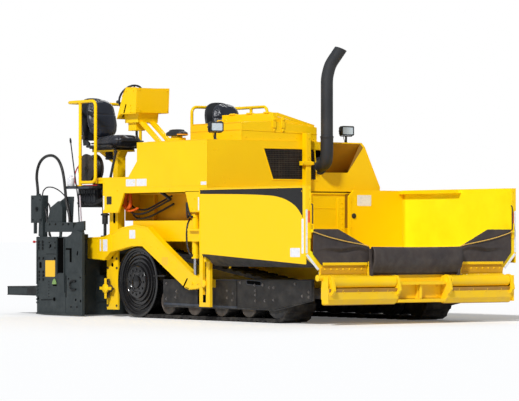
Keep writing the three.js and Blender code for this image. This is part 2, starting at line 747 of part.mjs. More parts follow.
// Rail round one side's rear corner: up beside the walk-through, across, forward, and down its last leg.
const guardRail = (legY, outerY, lastLeg) => join(
  bentTube([
    [railX, legY, shelfTop + seat], [railX, legY, railTop], [railX, outerY, railTop],
    [-2200, outerY, railTop], ...lastLeg,
  ], railRadius, 90),
  rod([railFootX, outerY, shelfTop + seat], [railFootX, outerY, railTop], railRadius, 8),
);
add('guard_rail_left', guardRail(530, 1290, [[-2200, 1290, deckTop + seat]]), yellow);
add('guard_rail_right', guardRail(-300, -1440, [[-2200, -1440, 1715], [railFootX, -1440, 1715]]), yellow);

// ---- console, wheel, reel, lamps ---------------------------------------------------------------
const consoleInner = 700;
const consoleOuter = 1200;

const consoleBase = deckTop + 710;
const wheelCentre = new THREE.Vector3(-2100, -960, consoleBase + 335);
const wheelTilt = 1.05;            // lean of the steering shaft back from upright, radians
const wheelRadius = 190;

function consoleBody() {
  const shaftWay = new THREE.Vector3(-Math.sin(wheelTilt), 0, Math.cos(wheelTilt));
  const shaftEnds = [30 + seat, 170].map((t) => wheelCentre.clone().addScaledVector(shaftWay, -t).toArray());
  const pieces = [
    sideProfile([
      [-2080, 50], [-1990, 120], [-1640, 120], [-1620, 435], [-1860, 445], [-1950, 330],
    ].map(([x, height]) => [x, consoleBase + height]), -consoleOuter, -consoleInner),
    sideProfile([[-1990, 0], [-1700, 0], [-1680, 122], [-1990, 122]]
      .map(([x, height]) => [x, consoleBase + height]), -1130, -820),
    box(-1960, -1780, -1100, -960, consoleBase - 100, consoleBase + 2),
    rod(...shaftEnds, 18, 12),
  ];
  [-1060, -900].forEach((y) => {
    pieces.push(sideProfile([
      [-1760, consoleBase + 10], [-1660, consoleBase + 10],
      [hoodRearX + 100, hoodTop + 1.5 * seat], [hoodRearX + 10, hoodTop + 1.5 * seat],
    ], y - 25, y + 25));
  });
  return join(...pieces);
}

add('console', consoleBody(), yellow);

function steeringWheel() {
  const rim = new THREE.TorusGeometry(wheelRadius - 14, 14, 6, 18);
  const hub = new THREE.CylinderGeometry(32, 32, 60, 12).rotateX(Math.PI / 2);
  const spokes = [0, 1, 2].map((i) => {
    const spoke = new THREE.BoxGeometry(wheelRadius - 14, 26, 10).translate((wheelRadius - 14) / 2, 0, 0);
    return spoke.rotateZ((2 * Math.PI * i) / 3);
  });
  const wheel = join(rim, hub, ...spokes);
  return wheel.rotateY(-wheelTilt).translate(...wheelCentre.toArray());
}

add('steering_wheel', steeringWheel(), vinyl);

function hoseReel() {
  const y = -1190;
  const pieces = [
    drum(190, y - 70, y - 60, -2690, 1900, 16), drum(190, y + 60, y + 70, -2690, 1900, 16),
    drum(150, y - 61, y + 61, -2690, 1900, 16),
    box(-2760, -2620, y + 69, y + 90, shelfTop + seat, 1930),
  ];
  return join(...pieces);
}

add('hose_reel', hoseReel(), ironGrey);

const workLamp = (x, y) => join(
  box(x - 45, x + 45, y - 95, y + 95, hoodTop + 95, hoodTop + 215),
  box(x - 12, x + 12, y - 30, y + 30, hoodTop + seat, hoodTop + 96),
);
add('work_lamp_right', workLamp(110, -1215), lampBlack);
add('work_lamp_left', workLamp(20, 1130 - 250), lampBlack);

// ---- tow points, lift cylinders and wing cylinders ---------------------------------------------
// A hollow barrel upright round its rod, closed at the top.
const barrel = (x, y, z0, z1, outer, inner) => {
  const profile = [[inner, 0], [outer, 0], [outer, z1 - z0], [0, z1 - z0], [0, z1 - z0 - 30],
    [inner, z1 - z0 - 30], [inner, 0]];
  const points = profile.map(([r, h]) => new THREE.Vector2(r, h));
  return new THREE.LatheGeometry(points, 16).rotateX(Math.PI / 2).translate(x, y, z0);
};

// Tow point on one side: the hanging guide with its slot, the hollow cylinder, and their top plate.
function towGuide() {
  const top = tankBottom + 130 + seat;
  const slot = box(towRollerX - towRoller - slotPlay, towRollerX + towRoller + slotPlay,
    guideInner - 1, guideOuter + 1, 320, 770);
  const guide = cut(box(75, 290, guideInner, guideOuter, 170, top + 25), slot);
  const topPlate = cut(box(towRodX - 40, 290, armMiddle - 70, guideOuter, top, top + 25),
    rod([towRodX, armMiddle, top - 5], [towRodX, armMiddle, top + 30], towRod + 8, 16));
  return join(guide, topPlate, barrel(towRodX, armMiddle, towBarrelBottom, towBarrelTop, towBarrel,
    boreRadius(towRod, 16)));
}

function towRodPiece() {
  return join(
    rod([towRodX, armMiddle, towPinZ + 30], [towRodX, armMiddle, 1040], towRod, 16),
    box(towRodX - 42, towRodX + 42, armMiddle - 20, armMiddle + 20, towPinZ - 42, towPinZ + 60),
    rod([towRodX, armInner, towPinZ], [towRodX, armOuter, towPinZ], towPin, 16),
  );
}

function towArm() {
  const arm = sideProfile([
    [screedFrontX + 9, 740], [-2110, 720], [-1960, 820], [-1470, 900], [-1240, 900], [-300, 390],
    [-220, 370], [60, 400], [225, 405], [225, 500], [60, 520], [-140, 560], [-840, 960], [-1130, 1140],
    [-1390, 1170], [-1690, 1140], [-2110, 1020], [screedFrontX + 9, 1010],
  ], armInner, armOuter);
  const fork = box(towRodX - 66, towRodX + 66, armMiddle - 28, armMiddle + 28, 300, 800);
  const eye = rod([towRodX, armInner - 5, towPinZ], [towRodX, armOuter + 5, towPinZ],
    boreRadius(towPin, 16), 16);
  const roller = rod([towRollerX, armOuter - 5, towRollerZ], [towRollerX, guideOuter - 2, towRollerZ],
    towRoller, 16);
  return join(cut(arm, fork, eye), roller);
}

addPair('tow_guide', towGuide(), yellow);
addPair('tow_rod', towRodPiece(), steel);
addPair('tow_arm', towArm(), yellow);

const liftY = 1235;

// Screed lift cylinder: hangs from the deck and ends in its rod's eye beside the tow arm.
function liftCylinder() {
  const top = shelfTop - shelfThickness - seat;
  return join(
    rod([liftX, liftY, 1180], [liftX, liftY, top], 38, 14),
    rod([liftX, liftY, 960], [liftX, liftY, 1181], 20, 12),
    rod([liftX, liftY - 30, 940], [liftX, liftY + 30, 940], 38, 14),
  );
}

addPair('lift_cylinder', liftCylinder(), charcoal);

const wingCylinderX = 2230;

// Wing cylinder: lies across, from the hopper floor's side to its rod's eye under the wing.
function wingCylinder() {
  return join(
    box(wingCylinderX - 30, wingCylinderX + 30, hopperFloorHalf + seat, hopperFloorHalf + 45,
      wingSillZ - 242, wingSillZ - 152),
    rod([wingCylinderX, hopperFloorHalf + 30, wingSillZ - 198],
      [wingCylinderX, 960, wingSillZ - 127], 36, 14),
    rod([wingCylinderX, 955, wingSillZ - 128], [wingCylinderX, 1200, wingSillZ - 76], 18, 12),
    rod([wingCylinderX - 28, 1215, wingSillZ - 72], [wingCylinderX + 28, 1215, wingSillZ - 72], 34, 14),
  );
}

addPair('wing_cylinder', wingCylinder(), steel);

// ---- augers ------------------------------------------------------------------------------------
const augerPlate = 25;
const augerPlateInner = 1230;

function augerFrame() {
  const rear = augerX - 95;
  const front = bodyRearX - seat;
  const pieces = [
    box(rear, front, -60, 60, 220, 690),
    box(rear, augerX + 70, -augerPlateInner - 1, augerPlateInner + 1, 590, 690),
  ];
  [-1, 1].forEach((side) => {
    const y0 = side > 0 ? augerPlateInner : -augerPlateInner - augerPlate;
    pieces.push(box(rear, driveAxleX - driveRadius - 12, y0, y0 + augerPlate, 90, tankBottom - seat));
  });
  const bore = rod([augerX, -augerOuter, augerZ], [augerX, augerOuter, augerZ],
    boreRadius(augerShaft, 18), 18);
  return cut(join(...pieces), bore);
}

// Screw flight: a flat ring sector wound round the shaft, one turn to each pitch.
function flight(y0, y1, stepsPerTurn = 10) {
  const steps = Math.round(((y1 - y0) / augerPitch) * stepsPerTurn);
  const thickness = 14;
  const positions = [];
  const index = [];
  for (let i = 0; i <= steps; i += 1) {
    const angle = (2 * Math.PI * i) / stepsPerTurn;
    const y = y0 + ((y1 - y0) * i) / steps;
    [[augerShaft - 6, 0], [augerRadius, 0], [augerRadius, thickness], [augerShaft - 6, thickness]]
      .forEach(([r, shift]) => {
        positions.push(augerX + r * Math.cos(angle), y + shift, augerZ + r * Math.sin(angle));
      });
  }
  for (let i = 0; i < steps; i += 1) {
    for (let k = 0; k < 4; k += 1) {
      const a = 4 * i + k;
      const b = 4 * i + ((k + 1) % 4);
      index.push(a, b, b + 4, a, b + 4, a + 4);
    }
  }
  const end = 4 * steps;
  index.push(0, 2, 1, 0, 3, 2, end, end + 1, end + 2, end, end + 2, end + 3);
  const geometry = new THREE.BufferGeometry();
  geometry.setAttribute('position', new THREE.Float32BufferAttribute(positions, 3));
  geometry.setIndex(index);
  return geometry;
}

function auger() {
  const shaft = drum(augerShaft, 35, augerOuter, augerX, augerZ, 12);
  const paddles = [
    box(augerX - 12, augerX + 12, augerOuter - 50, augerOuter - 20, augerZ - 120, augerZ + 120),
    box(augerX - 120, augerX + 120, augerOuter - 50, augerOuter - 20, augerZ - 12, augerZ + 12),
  ];
  return join(shaft, flight(augerInner, augerPlateInner - 25), ...paddles);
}

add('auger_frame', augerFrame(), yellow);
addPair('auger', auger(), ironGrey);

// ---- screed ------------------------------------------------------------------------------------
const guideTube = 35;
const guideTubeZ = 640;
const guideTubeX = extensionFrontX - 190;
const screedRearX = screedFrontX - screedLength;

function mainScreed() {
  const pieces = [
    box(screedRearX, screedFrontX, -screedHalf, screedHalf, screedBottom, screedTop),
    box(guideTubeX - 60, screedRearX + 80, -70, 70, screedTop + 30, guideTubeZ + 60),
    box(screedRearX, screedRearX + 80, -70, 70, screedTop - 1, guideTubeZ + 60),
    rod([guideTubeX, 20 - screedHalf, guideTubeZ], [guideTubeX, screedHalf - 20, guideTubeZ],
      guideTube, 16),
    box(screedFrontX - 90, screedFrontX - 20, -1200, 1200, 800, 890),
  ];
  [-1, 1].forEach((side) => {
    const across = (y0, y1) => (side > 0 ? [y0, y1] : [-y1, -y0]);
    pieces.push(box(screedFrontX - 100, screedFrontX + 9 - seat, ...across(1180, 1405),
      screedTop - 1, 1000));
    pieces.push(box(screedRearX + 60, screedFrontX - 99, ...across(320, 1150), screedTop - 1, 985));
  });
  return join(...pieces);
}

const jackX = -3390;
const extensionTop = 1010;

function extension() {
  const inner = endFrameInner;
  const blockInner = 105;
  const pieces = [
    box(extensionRearX, extensionFrontX, extensionInner, inner + 1, screedBottom, screedTop),
    box(guideTubeX - 70, guideTubeX + 70, blockInner, blockInner + 90, screedTop - 1, guideTubeZ + 70),
    sideProfile([
      [extensionRearX, 30], [-2300, 30], [-2300, 1160], [-2480, 1170], [-2600, extensionTop],
      [extensionRearX, extensionTop],
    ], inner, endFrameOuter),
    box(jackX + 90, jackX + 140, inner - 45, endFrameOuter, extensionTop - 1, 1240),
    box(jackX - 150, jackX + 140, inner - 55, endFrameOuter, 1200, 1560),
    box(-3190, -2520, inner - 45, endFrameOuter, 1080, 1205),
    sideProfile([
      [-3170, 1204], [-3080, 1400], [-2900, 1480], [-2800, 1400], [-2800, 1204],
    ], inner - 50, endFrameOuter - 15),
  ];
  const bore = rod([guideTubeX, blockInner - 5, guideTubeZ], [guideTubeX, blockInner + 95, guideTubeZ],
    boreRadius(guideTube, 20), 20);
  return cut(join(...pieces), bore);
}

function endGate() {
  return sideProfile([
    [extensionRearX, gateBottom], [gateFrontX, gateBottom], [gateFrontX, gateTop - 30],
    [-2400, gateTop], [-2620, gateTop - 80], [extensionRearX, gateTop - 80],
  ], endFrameOuter + seat, halfWidth);
}

function walkway() {
  const floor = box(tailX, walkwayFrontX, 60, 1530, walkwayTop - 40, walkwayTop);
  const rim = box(tailX, tailX + 25, 60, 1530, walkwayTop - walkwayThickness, walkwayTop);
  const ends = [60, 1505].map((y) =>
    box(tailX, walkwayFrontX, y, y + 25, walkwayTop - walkwayThickness, walkwayTop));
  const hinges = [200, 760, 1330].map((y) =>
    box(walkwayFrontX - 1, extensionRearX - seat, y, y + 60, walkwayTop - 40, walkwayTop));
  return join(floor, rim, ...ends, ...hinges);
}

add('main_screed', mainScreed(), screedGrey);
addPair('screed_extension', extension(), screedGrey);
addPair('end_gate', endGate(), screedGrey);
addPair('walkway', walkway(), screedGrey);

// Hydraulic hoses in a high loop, from the jack box over to the arm at the front of the end frame.
const screedHosePoints = [
  [-3440, 1530, 1561], [-3442, 1530, 1620], [-3455, 1530, 1700], [-3470, 1530, 1800],
  [-3450, 1530, 1900], [-3390, 1530, 1990], [-3290, 1530, 2050], [-3170, 1530, 2075], [-3050, 1530, 2065],
  [-2940, 1530, 2010], [-2860, 1530, 1910], [-2810, 1530, 1780], [-2780, 1530, 1640],
  [-2752, 1530, 1490], [-2712, 1532, 1380], [-2672, 1535, 1300], [-2660, 1535, 1250],
  [-2660, 1535, 1207],
];
const screedHoseRadius = 19;
addPair('screed_hose', hose(screedHosePoints, screedHoseRadius, 26, 8), hoseBlack);

// Air hose from the reel, looped behind the shelf and back along it.
const airHosePoints = [
  [-2876, -1190, 1935], [-2905, -1192, 1955], [-2945, -1200, 1950], [-2985, -1210, 1915],
  [-3005, -1225, 1860], [-3000, -1240, 1800], [-2975, -1255, 1745], [-2930, -1270, 1705],
  [-2870, -1285, 1685], [-2780, -1300, 1680], [-2680, -1310, 1678.8], [-2560, -1315, 1678.7],
  [-2440, -1315, 1678.7], [-2340, -1312, 1678.7], [-2290.6, -1310, 1678.7],
];
const airHoseRadius = 8;
add('air_hose', hose(airHosePoints, airHoseRadius, 26, 8), hoseRed);

export default machine;
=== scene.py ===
# Looks for the tracked asphalt paver. New pieces are worked out in datum millimetres:
# x = 0 behind the hopper, +x forward, +y left, z = 0 on the ground.
import math

import bpy
import numpy as np
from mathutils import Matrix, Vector


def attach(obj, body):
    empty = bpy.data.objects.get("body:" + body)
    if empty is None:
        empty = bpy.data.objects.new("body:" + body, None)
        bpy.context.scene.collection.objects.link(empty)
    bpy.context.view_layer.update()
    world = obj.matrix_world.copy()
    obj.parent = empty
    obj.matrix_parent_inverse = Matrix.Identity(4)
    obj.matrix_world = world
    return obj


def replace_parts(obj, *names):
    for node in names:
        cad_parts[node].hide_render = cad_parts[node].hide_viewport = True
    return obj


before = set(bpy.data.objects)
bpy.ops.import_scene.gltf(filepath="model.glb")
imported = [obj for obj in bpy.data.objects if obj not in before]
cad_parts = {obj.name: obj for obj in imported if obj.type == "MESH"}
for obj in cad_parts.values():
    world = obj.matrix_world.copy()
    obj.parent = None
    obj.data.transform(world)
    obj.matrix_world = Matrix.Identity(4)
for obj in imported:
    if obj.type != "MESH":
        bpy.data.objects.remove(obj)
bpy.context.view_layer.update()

DATUM_X = 773.5                           # datum x = 0 in the frame, mm
CAMERA_PLACE = (28.5575, -21.012, 1.02)   # m in the frame
CAMERA_HEADING, CAMERA_PITCH = 143.514, 0.739   # degrees
CAMERA_LENS = 194.27                      # mm on a 36 mm sensor
SKY_LIGHT, SKY_IN_GLOSS = 0.34, 0.12      # strength of the sky; share of plain white that gloss sees
FLOOR_HALF, FLOOR_GLOW = 400.0, 0.10      # m; light that only the camera sees


def placed(points):
    """Datum millimetres to the frame's metres: x moves by the datum, all is divided by 1000."""
    return (np.asarray(points, float) + [DATUM_X, 0, 0]) / 1000.0


# ---- camera, lights and floor --------------------------------------------------------
def in_scene(name, data):
    """A new object in the scene, turned by a quaternion."""
    thing = bpy.data.objects.new(name, data)
    thing.rotation_mode = "QUATERNION"
    bpy.context.scene.collection.objects.link(thing)
    return thing


def make_camera():
    """Camera 34 m out at the right front, aimed by its heading and a slight upward pitch."""
    heading, pitch = math.radians(CAMERA_HEADING), math.radians(CAMERA_PITCH)
    data = bpy.data.cameras.new("camera")
    data.sensor_width, data.lens = 36.0, CAMERA_LENS
    data.clip_start, data.clip_end = 1.0, 600.0
    camera = in_scene("camera", data)
    camera.location = CAMERA_PLACE
    aim = Vector((math.cos(pitch) * math.cos(heading), math.cos(pitch) * math.sin(heading), math.sin(pitch)))
    camera.rotation_quaternion = aim.to_track_quat("-Z", "Y")
    bpy.context.scene.camera = camera


def make_sun(name, toward, strength, spread):
    """A soft sun whose light comes from the direction `toward`; spread is its width in degrees."""
    data = bpy.data.lights.new(name, "SUN")
    data.energy, data.angle = strength, math.radians(spread)
    in_scene(name, data).rotation_quaternion = Vector(toward).to_track_quat("Z", "Y")


def link(tree, *pairs):
    """Joins each output to its input."""
    for a, b in pairs:
        tree.links.new(a, b)


def add_node(tree, kind, values=None, **settings):
    """A shader node with its settings, and with default values for its sockets by name or number."""
    node = tree.nodes.new("ShaderNode" + kind)
    for key, value in settings.items():
        setattr(node, key, value)
    for key, value in (values or {}).items():
        node.inputs[key].default_value = value
    return node


def make_world():
    """Even pale sky; rays that see it directly, or in gloss or glass, see plain white."""
    world = bpy.data.worlds.new("pale_sky")
    bpy.context.scene.world = world
    world.use_nodes = True
    tree = world.node_tree
    sky = tree.nodes["Background"]
    sky.inputs["Color"].default_value = (0.93, 0.96, 1.0, 1)
    sky.inputs["Strength"].default_value = SKY_LIGHT
    seen = add_node(tree, "Background", {"Color": (1, 1, 1, 1), "Strength": 1.0})
    path = add_node(tree, "LightPath")
    gloss = add_node(tree, "Math", {1: SKY_IN_GLOSS}, operation="MULTIPLY")
    either = add_node(tree, "Math", operation="MAXIMUM")
    also = add_node(tree, "Math", operation="MAXIMUM")
    mix = add_node(tree, "MixShader")
    link(tree, (path.outputs["Is Glossy Ray"], gloss.inputs[0]),
         (path.outputs["Is Camera Ray"], either.inputs[0]), (gloss.outputs[0], either.inputs[1]),
         (either.outputs[0], also.inputs[0]), (path.outputs["Is Transmission Ray"], also.inputs[1]),
         (also.outputs[0], mix.inputs["Fac"]), (sky.outputs[0], mix.inputs[1]),
         (seen.outputs[0], mix.inputs[2]), (mix.outputs[0], tree.nodes["World Output"].inputs["Surface"]))


def make_floor():
    """Flat pale floor: diffuse, plus a little light that only the camera sees, so that open floor is white."""
    corners = [(-1, -1), (1, -1), (1, 1), (-1, 1)]
    mesh = bpy.data.meshes.new("floor")
    mesh.from_pydata([(a * FLOOR_HALF, b * FLOOR_HALF, 0) for a, b in corners], [], [(0, 1, 2, 3)])
    floor = in_scene("floor", mesh)
    material = bpy.data.materials.new("pale_floor")
    material.use_nodes = True
    tree = material.node_tree
    shader = tree.nodes["Principled BSDF"]
    shader.inputs["Base Color"].default_value = (0.86, 0.86, 0.86, 1)
    shader.inputs["Roughness"].default_value = 0.9
    shader.inputs["Specular IOR Level"].default_value = 0.0
    glow = add_node(tree, "Emission")
    path = add_node(tree, "LightPath")
    share = add_node(tree, "Math", {1: FLOOR_GLOW}, operation="MULTIPLY")
    both = add_node(tree, "AddShader")
    link(tree, (path.outputs["Is Camera Ray"], share.inputs[0]), (share.outputs[0], glow.inputs["Strength"]),
         (shader.outputs[0], both.inputs[0]), (glow.outputs[0], both.inputs[1]),
         (both.outputs[0], tree.nodes["Material Output"].inputs["Surface"]))
    mesh.materials.append(material)


make_camera()
make_world()
make_floor()
make_sun("key_sun", (0.44, -0.66, 0.62), 3.1, 7)
make_sun("fill_sun", (-0.55, 0.65, 0.55), 0.55, 25)
bpy.context.scene.view_settings.view_transform = "Standard"


# ---- finishes ------------------------------------------------------------------------
class Finish:
    """A procedural material: one Principled shader with patterns on object coordinates added to it."""

    def __init__(self, name, rough, metal=0.0, gloss=0.5, **sockets):
        self.material = bpy.data.materials.new(name)
        self.material.use_nodes = True
        self.tree = self.material.node_tree
        self.shader = self.tree.nodes["Principled BSDF"]
        self.place = add_node(self.tree, "TexCoord").outputs["Object"]
        sockets.update(Roughness=rough, Specular_IOR_Level=gloss, Metallic=metal)
        for socket, value in sockets.items():
            self.shader.inputs[socket.replace("_", " ")].default_value = value

    def fed(self, kind, source, socket, result, values=None, **settings):
        """A node with one of its inputs fed from `source`; gives the output called `result`."""
        node = add_node(self.tree, kind, values, **settings)
        link(self.tree, (source, node.inputs[socket]))
        return node.outputs[result]

    def noise(self, scale, detail=4.0, rough=0.55, stretch=None):
        """Cloudy pattern from 0 to 1; stretch scales the three axes one by one."""
        spot = self.place
        if stretch:
            spot = self.fed("Mapping", spot, "Vector", "Vector", {"Scale": stretch})
        return self.fed("TexNoise", spot, "Vector", "Fac",
                        {"Scale": scale, "Detail": detail, "Roughness": rough})

    def cells(self, scale, feature="F1"):
        """Cell pattern: distance to the nearest of scattered points."""
        return self.fed("TexVoronoi", self.place, "Vector", "Distance", {"Scale": scale}, feature=feature)

    def bands(self, scale, axis="X", distortion=0.0):
        """Waves across one axis, from 0 to 1."""
        return self.fed("TexWave", self.place, "Vector", "Fac", {"Scale": scale, "Distortion": distortion},
                        bands_direction=axis)

    def along(self, axis):
        """Distance along one axis, in metres."""
        return self.fed("SeparateXYZ", self.place, 0, axis)

    def hopper_side(self):
        """1 on the wings' inner side walls ahead of the hopper's rear, 0 elsewhere."""
        aside = self.fed("Math", self.along("Y"), 0, 0, operation="ABSOLUTE")
        wall = self.times(self.ramp(aside, 1.44, 1.50), self.ramp(aside, 1.545, 1.535))
        return self.times(wall, self.ramp(self.along("X"), 1.15, 1.19))

    def ramp(self, value, low, high, out_low=0.0, out_high=1.0):
        """Maps low..high in a straight line to out_low..out_high and holds the ends."""
        return self.fed("MapRange", value, "Value", "Result",
                        {"From Min": low, "From Max": high, "To Min": out_low, "To Max": out_high})

    def times(self, a, b):
        """Product of two outputs."""
        node = add_node(self.tree, "Math", operation="MULTIPLY")
        link(self.tree, (a, node.inputs[0]), (b, node.inputs[1]))
        return node.outputs[0]

    def mix(self, a, b, share):
        """Colour a to colour b by share; a and b are three numbers or an output."""
        node = add_node(self.tree, "Mix", data_type="RGBA")
        for socket, value in zip([s for s in node.inputs if s.type == "RGBA"], (a, b)):
            self.give(socket, value)
        link(self.tree, (share, node.inputs["Factor"]))
        return [s for s in node.outputs if s.type == "RGBA"][0]

    def give(self, socket, value):
        """Sets a colour socket to three numbers, or joins an output to it."""
        if isinstance(value, tuple):
            socket.default_value = (*value, 1)
        else:
            link(self.tree, (value, socket))

    def colour(self, value):
        self.give(self.shader.inputs["Base Color"], value)
        return self

    def rough(self, value):
        link(self.tree, (value, self.shader.inputs["Roughness"]))
        return self

    def bump(self, value, depth):
        """Adds relief of `depth` metres on top of any relief already there."""
        node = add_node(self.tree, "Bump", {"Strength": 1.0, "Distance": depth})
        before = self.shader.inputs["Normal"].links
        if before:
            link(self.tree, (before[0].from_socket, node.inputs["Normal"]))
        link(self.tree, (value, node.inputs["Height"]), (node.outputs["Normal"], self.shader.inputs["Normal"]))
        return self


SOIL = (0.42, 0.33, 0.20)
DARK_SOIL = (0.22, 0.20, 0.17)


def enamel_skin(finish, low, high):
    """Scuffs in the gloss between two roughnesses, with orange-peel relief over shallow waves in the plate."""
    finish.rough(finish.ramp(finish.noise(9.0, 6.0), 0.3, 0.75, low, high))
    return finish.bump(finish.noise(420.0, 2.0), 0.00035).bump(finish.noise(3.2, 2.0), 0.0016).material


def paint(name, colour, shade, rough=0.34, dust=SOIL, dust_top=0.9, dust_most=0.35, coat=0.25, gloss=0.2):
    """Enamel on plate: cloudy tone, specks, and dust that thins upward to dust_top metres."""
    f = Finish(name, rough, gloss=gloss, Coat_Weight=coat, Coat_Roughness=0.12)
    tone = f.mix(colour, shade, f.ramp(f.noise(1.7, 5.0), 0.35, 0.75))
    speck = f.ramp(f.noise(38.0, 3.0), 0.70, 0.78, 0.0, 0.5)
    tone = f.mix(tone, tuple(c * 0.55 for c in colour), speck)
    low = f.ramp(f.ramp(f.along("Z"), 0.0, dust_top), 0.0, 1.0, dust_most, 0.0)
    f.colour(f.mix(tone, dust, f.times(low, f.ramp(f.noise(6.0, 6.0), 0.3, 0.7))))
    return enamel_skin(f, rough - 0.07, rough + 0.14)


def painted_lit_walls(name, colour, palest_lit, worn, rough):
    """Enamel with a painted highlight: the hopper's side walls paler and more lemon, for the light they catch.
    """
    f = Finish(name, rough, gloss=0.3)
    # the two pale tones mixed onto the side walls are a painted highlight
    f.colour(f.mix(colour, f.mix(palest_lit, worn, f.ramp(f.noise(2.2, 5.0), 0.35, 0.7)), f.hopper_side()))
    return enamel_skin(f, 0.28, 0.48)


def cast(name, colour, shade, rough=0.6, metal=0.0, grain=150.0, depth=0.0012, dust_most=0.4, dust=DARK_SOIL,
         gloss=0.3):
    """Dark rough finish: mottled tone, sandy relief, rubbed patches and dust low down."""
    f = Finish(name, rough, metal, gloss)
    tone = f.mix(colour, shade, f.ramp(f.noise(4.5, 6.0), 0.35, 0.7))
    low = f.ramp(f.ramp(f.along("Z"), 0.0, 1.1), 0.0, 1.0, dust_most, 0.1 * dust_most)
    f.colour(f.mix(tone, dust, f.times(low, f.ramp(f.noise(11.0, 7.0), 0.42, 0.72))))
    f.rough(f.ramp(f.noise(14.0, 5.0), 0.3, 0.7, rough - 0.12, min(rough + 0.15, 0.95)))
    return f.bump(f.noise(grain, 4.0), depth).material


def vinyl(name, colour, shade):
    """Soft grained vinyl: cell-shaped creases, a slight sheen and duller rubbed places."""
    f = Finish(name, 0.42, Coat_Weight=0.15, Coat_Roughness=0.3, Sheen_Weight=0.15, Sheen_Roughness=0.4)
    f.colour(f.mix(colour, shade, f.ramp(f.noise(7.0, 4.0), 0.35, 0.7)))
    f.rough(f.ramp(f.noise(12.0, 5.0), 0.3, 0.7, 0.32, 0.52))
    f.bump(f.cells(620.0, "DISTANCE_TO_EDGE"), 0.0005)
    return f.bump(f.noise(24.0, 3.0), 0.0016).material


def bright_rod(name, colour):
    """Ground and plated bar: fine turning marks round it and faint streaks."""
    f = Finish(name, 0.16, 1.0)
    streaks = f.ramp(f.noise(20.0, 4.0, stretch=(8, 8, 1)), 0.4, 0.7)
    f.colour(f.mix(colour, tuple(c * 0.72 for c in colour), streaks))
    f.rough(f.ramp(f.noise(70.0, 2.0, stretch=(1, 1, 6)), 0.3, 0.7, 0.10, 0.26))
    return f.bump(f.noise(900.0, 1.0, stretch=(0.1, 0.1, 1)), 0.0001).material


def braid(name, colour, shade, scale):
    """Braided line: two crossed sets of fine slanting bands."""
    f = Finish(name, 0.75, Sheen_Weight=0.2)
    crossed = f.times(f.bands(scale, "DIAGONAL", 0.6), f.bands(scale * 0.8, "Y", 0.6))
    f.colour(f.mix(shade, colour, f.ramp(crossed, 0.0, 0.5)))
    return f.bump(crossed, 0.0015).material


def label_stock(name, colour, fade):
    """Plain printed film: flat colour a little faded and scuffed."""
    f = Finish(name, 0.38, Coat_Weight=0.3, Coat_Roughness=0.2)
    f.colour(f.mix(colour, fade, f.ramp(f.noise(30.0, 5.0), 0.45, 0.75)))
    f.rough(f.ramp(f.noise(55.0, 3.0), 0.3, 0.7, 0.3, 0.5))
    return f.bump(f.noise(260.0, 2.0), 0.0002).material


def facet_glass(name, deep, pale):
    """Lamp glass: small facets, with painted highlights as pale ridges between them."""
    f = Finish(name, 0.10, Coat_Weight=0.8)
    # the pale colour at the facet edges is a painted glint
    f.colour(f.mix(deep, pale, f.ramp(f.cells(55.0), 0.0, 0.012)))
    f.rough(f.ramp(f.noise(40.0), 0.3, 0.7, 0.05, 0.2))
    return f.bump(f.cells(55.0), 0.003).material


def ribbed_mat(name, colour, worn):
    """Rubber mat with even ribs across the machine and paler trodden places."""
    f = Finish(name, 0.85)
    f.colour(f.mix(colour, worn, f.ramp(f.noise(5.0, 6.0), 0.45, 0.75)))
    f.rough(f.ramp(f.noise(20.0), 0.3, 0.7, 0.7, 0.95))
    return f.bump(f.bands(7.0, "X"), 0.006).material


FRESH = (0.96, 0.605, 0.000)
YELLOW = paint("yellow_enamel", FRESH, (0.93, 0.560, 0.000), rough=0.38, coat=0.06, dust_most=0.22)
# yellow enamel with a painted highlight on the hopper wings' inner side walls
PAINTED_LIT_WALL_YELLOW = painted_lit_walls("painted_lit_wall_yellow", FRESH, (0.98, 0.86, 0.010), (0.97, 0.74, 0.004), 0.34)
# darker amber copy of the enamel: painted shade for yellow parts that sit in shadow
PAINTED_SHADE_AMBER = paint("painted_shade_amber", (0.74, 0.39, 0.002), (0.52, 0.26, 0.003), 0.5, dust_most=0.35, coat=0.0)
# deep brown copy of the enamel: painted shade for recesses and down-facing plates
PAINTED_DEEP_SHADE_YELLOW = paint("painted_deep_shade_yellow", (0.42, 0.20, 0.010), (0.34, 0.16, 0.010), 0.5, dust_most=0.5, coat=0.0)
GLOSS_BLACK = paint("gloss_black", (0.005, 0.005, 0.006), (0.009, 0.009, 0.010), 0.14, dust_most=0.08,
                    dust=(0.10, 0.09, 0.08), coat=0.5)
STRIPE_BLACK = paint("stripe_black", (0.010, 0.010, 0.011), (0.016, 0.016, 0.017), 0.3, dust_most=0.1,
                     dust=(0.2, 0.18, 0.15))
GREEN = paint("cap_green", (0.20, 0.33, 0.10), (0.16, 0.28, 0.08), 0.4, dust_most=0.0)
RED = paint("pin_red", (0.60, 0.03, 0.03), (0.45, 0.02, 0.02), 0.4, dust_most=0.0)
CHARCOAL = cast("charcoal_paint", (0.018, 0.018, 0.020), (0.025, 0.025, 0.026), 0.5, depth=0.0006,
                dust_most=0.25)
SCREED = cast("screed_paint", (0.020, 0.027, 0.029), (0.027, 0.035, 0.037), 0.46, depth=0.0006, dust_most=0.12,
              dust=(0.11, 0.12, 0.12))
EDGE_DARK = cast("edge_dark", (0.004, 0.005, 0.006), (0.008, 0.009, 0.010), 0.4, depth=0.0005, dust_most=0.05)
GUARD = cast("guard_plate", (0.011, 0.010, 0.010), (0.017, 0.016, 0.016), 0.42, depth=0.0008, dust_most=0.12)
TRACK = cast("track_rubber", (0.011, 0.010, 0.010), (0.018, 0.016, 0.016), 0.75, grain=90.0, depth=0.002,
             dust_most=0.2)
FLAP = cast("flap_rubber", (0.040, 0.033, 0.033), (0.062, 0.048, 0.042), 0.62, grain=60.0, depth=0.0015,
            dust_most=0.25)
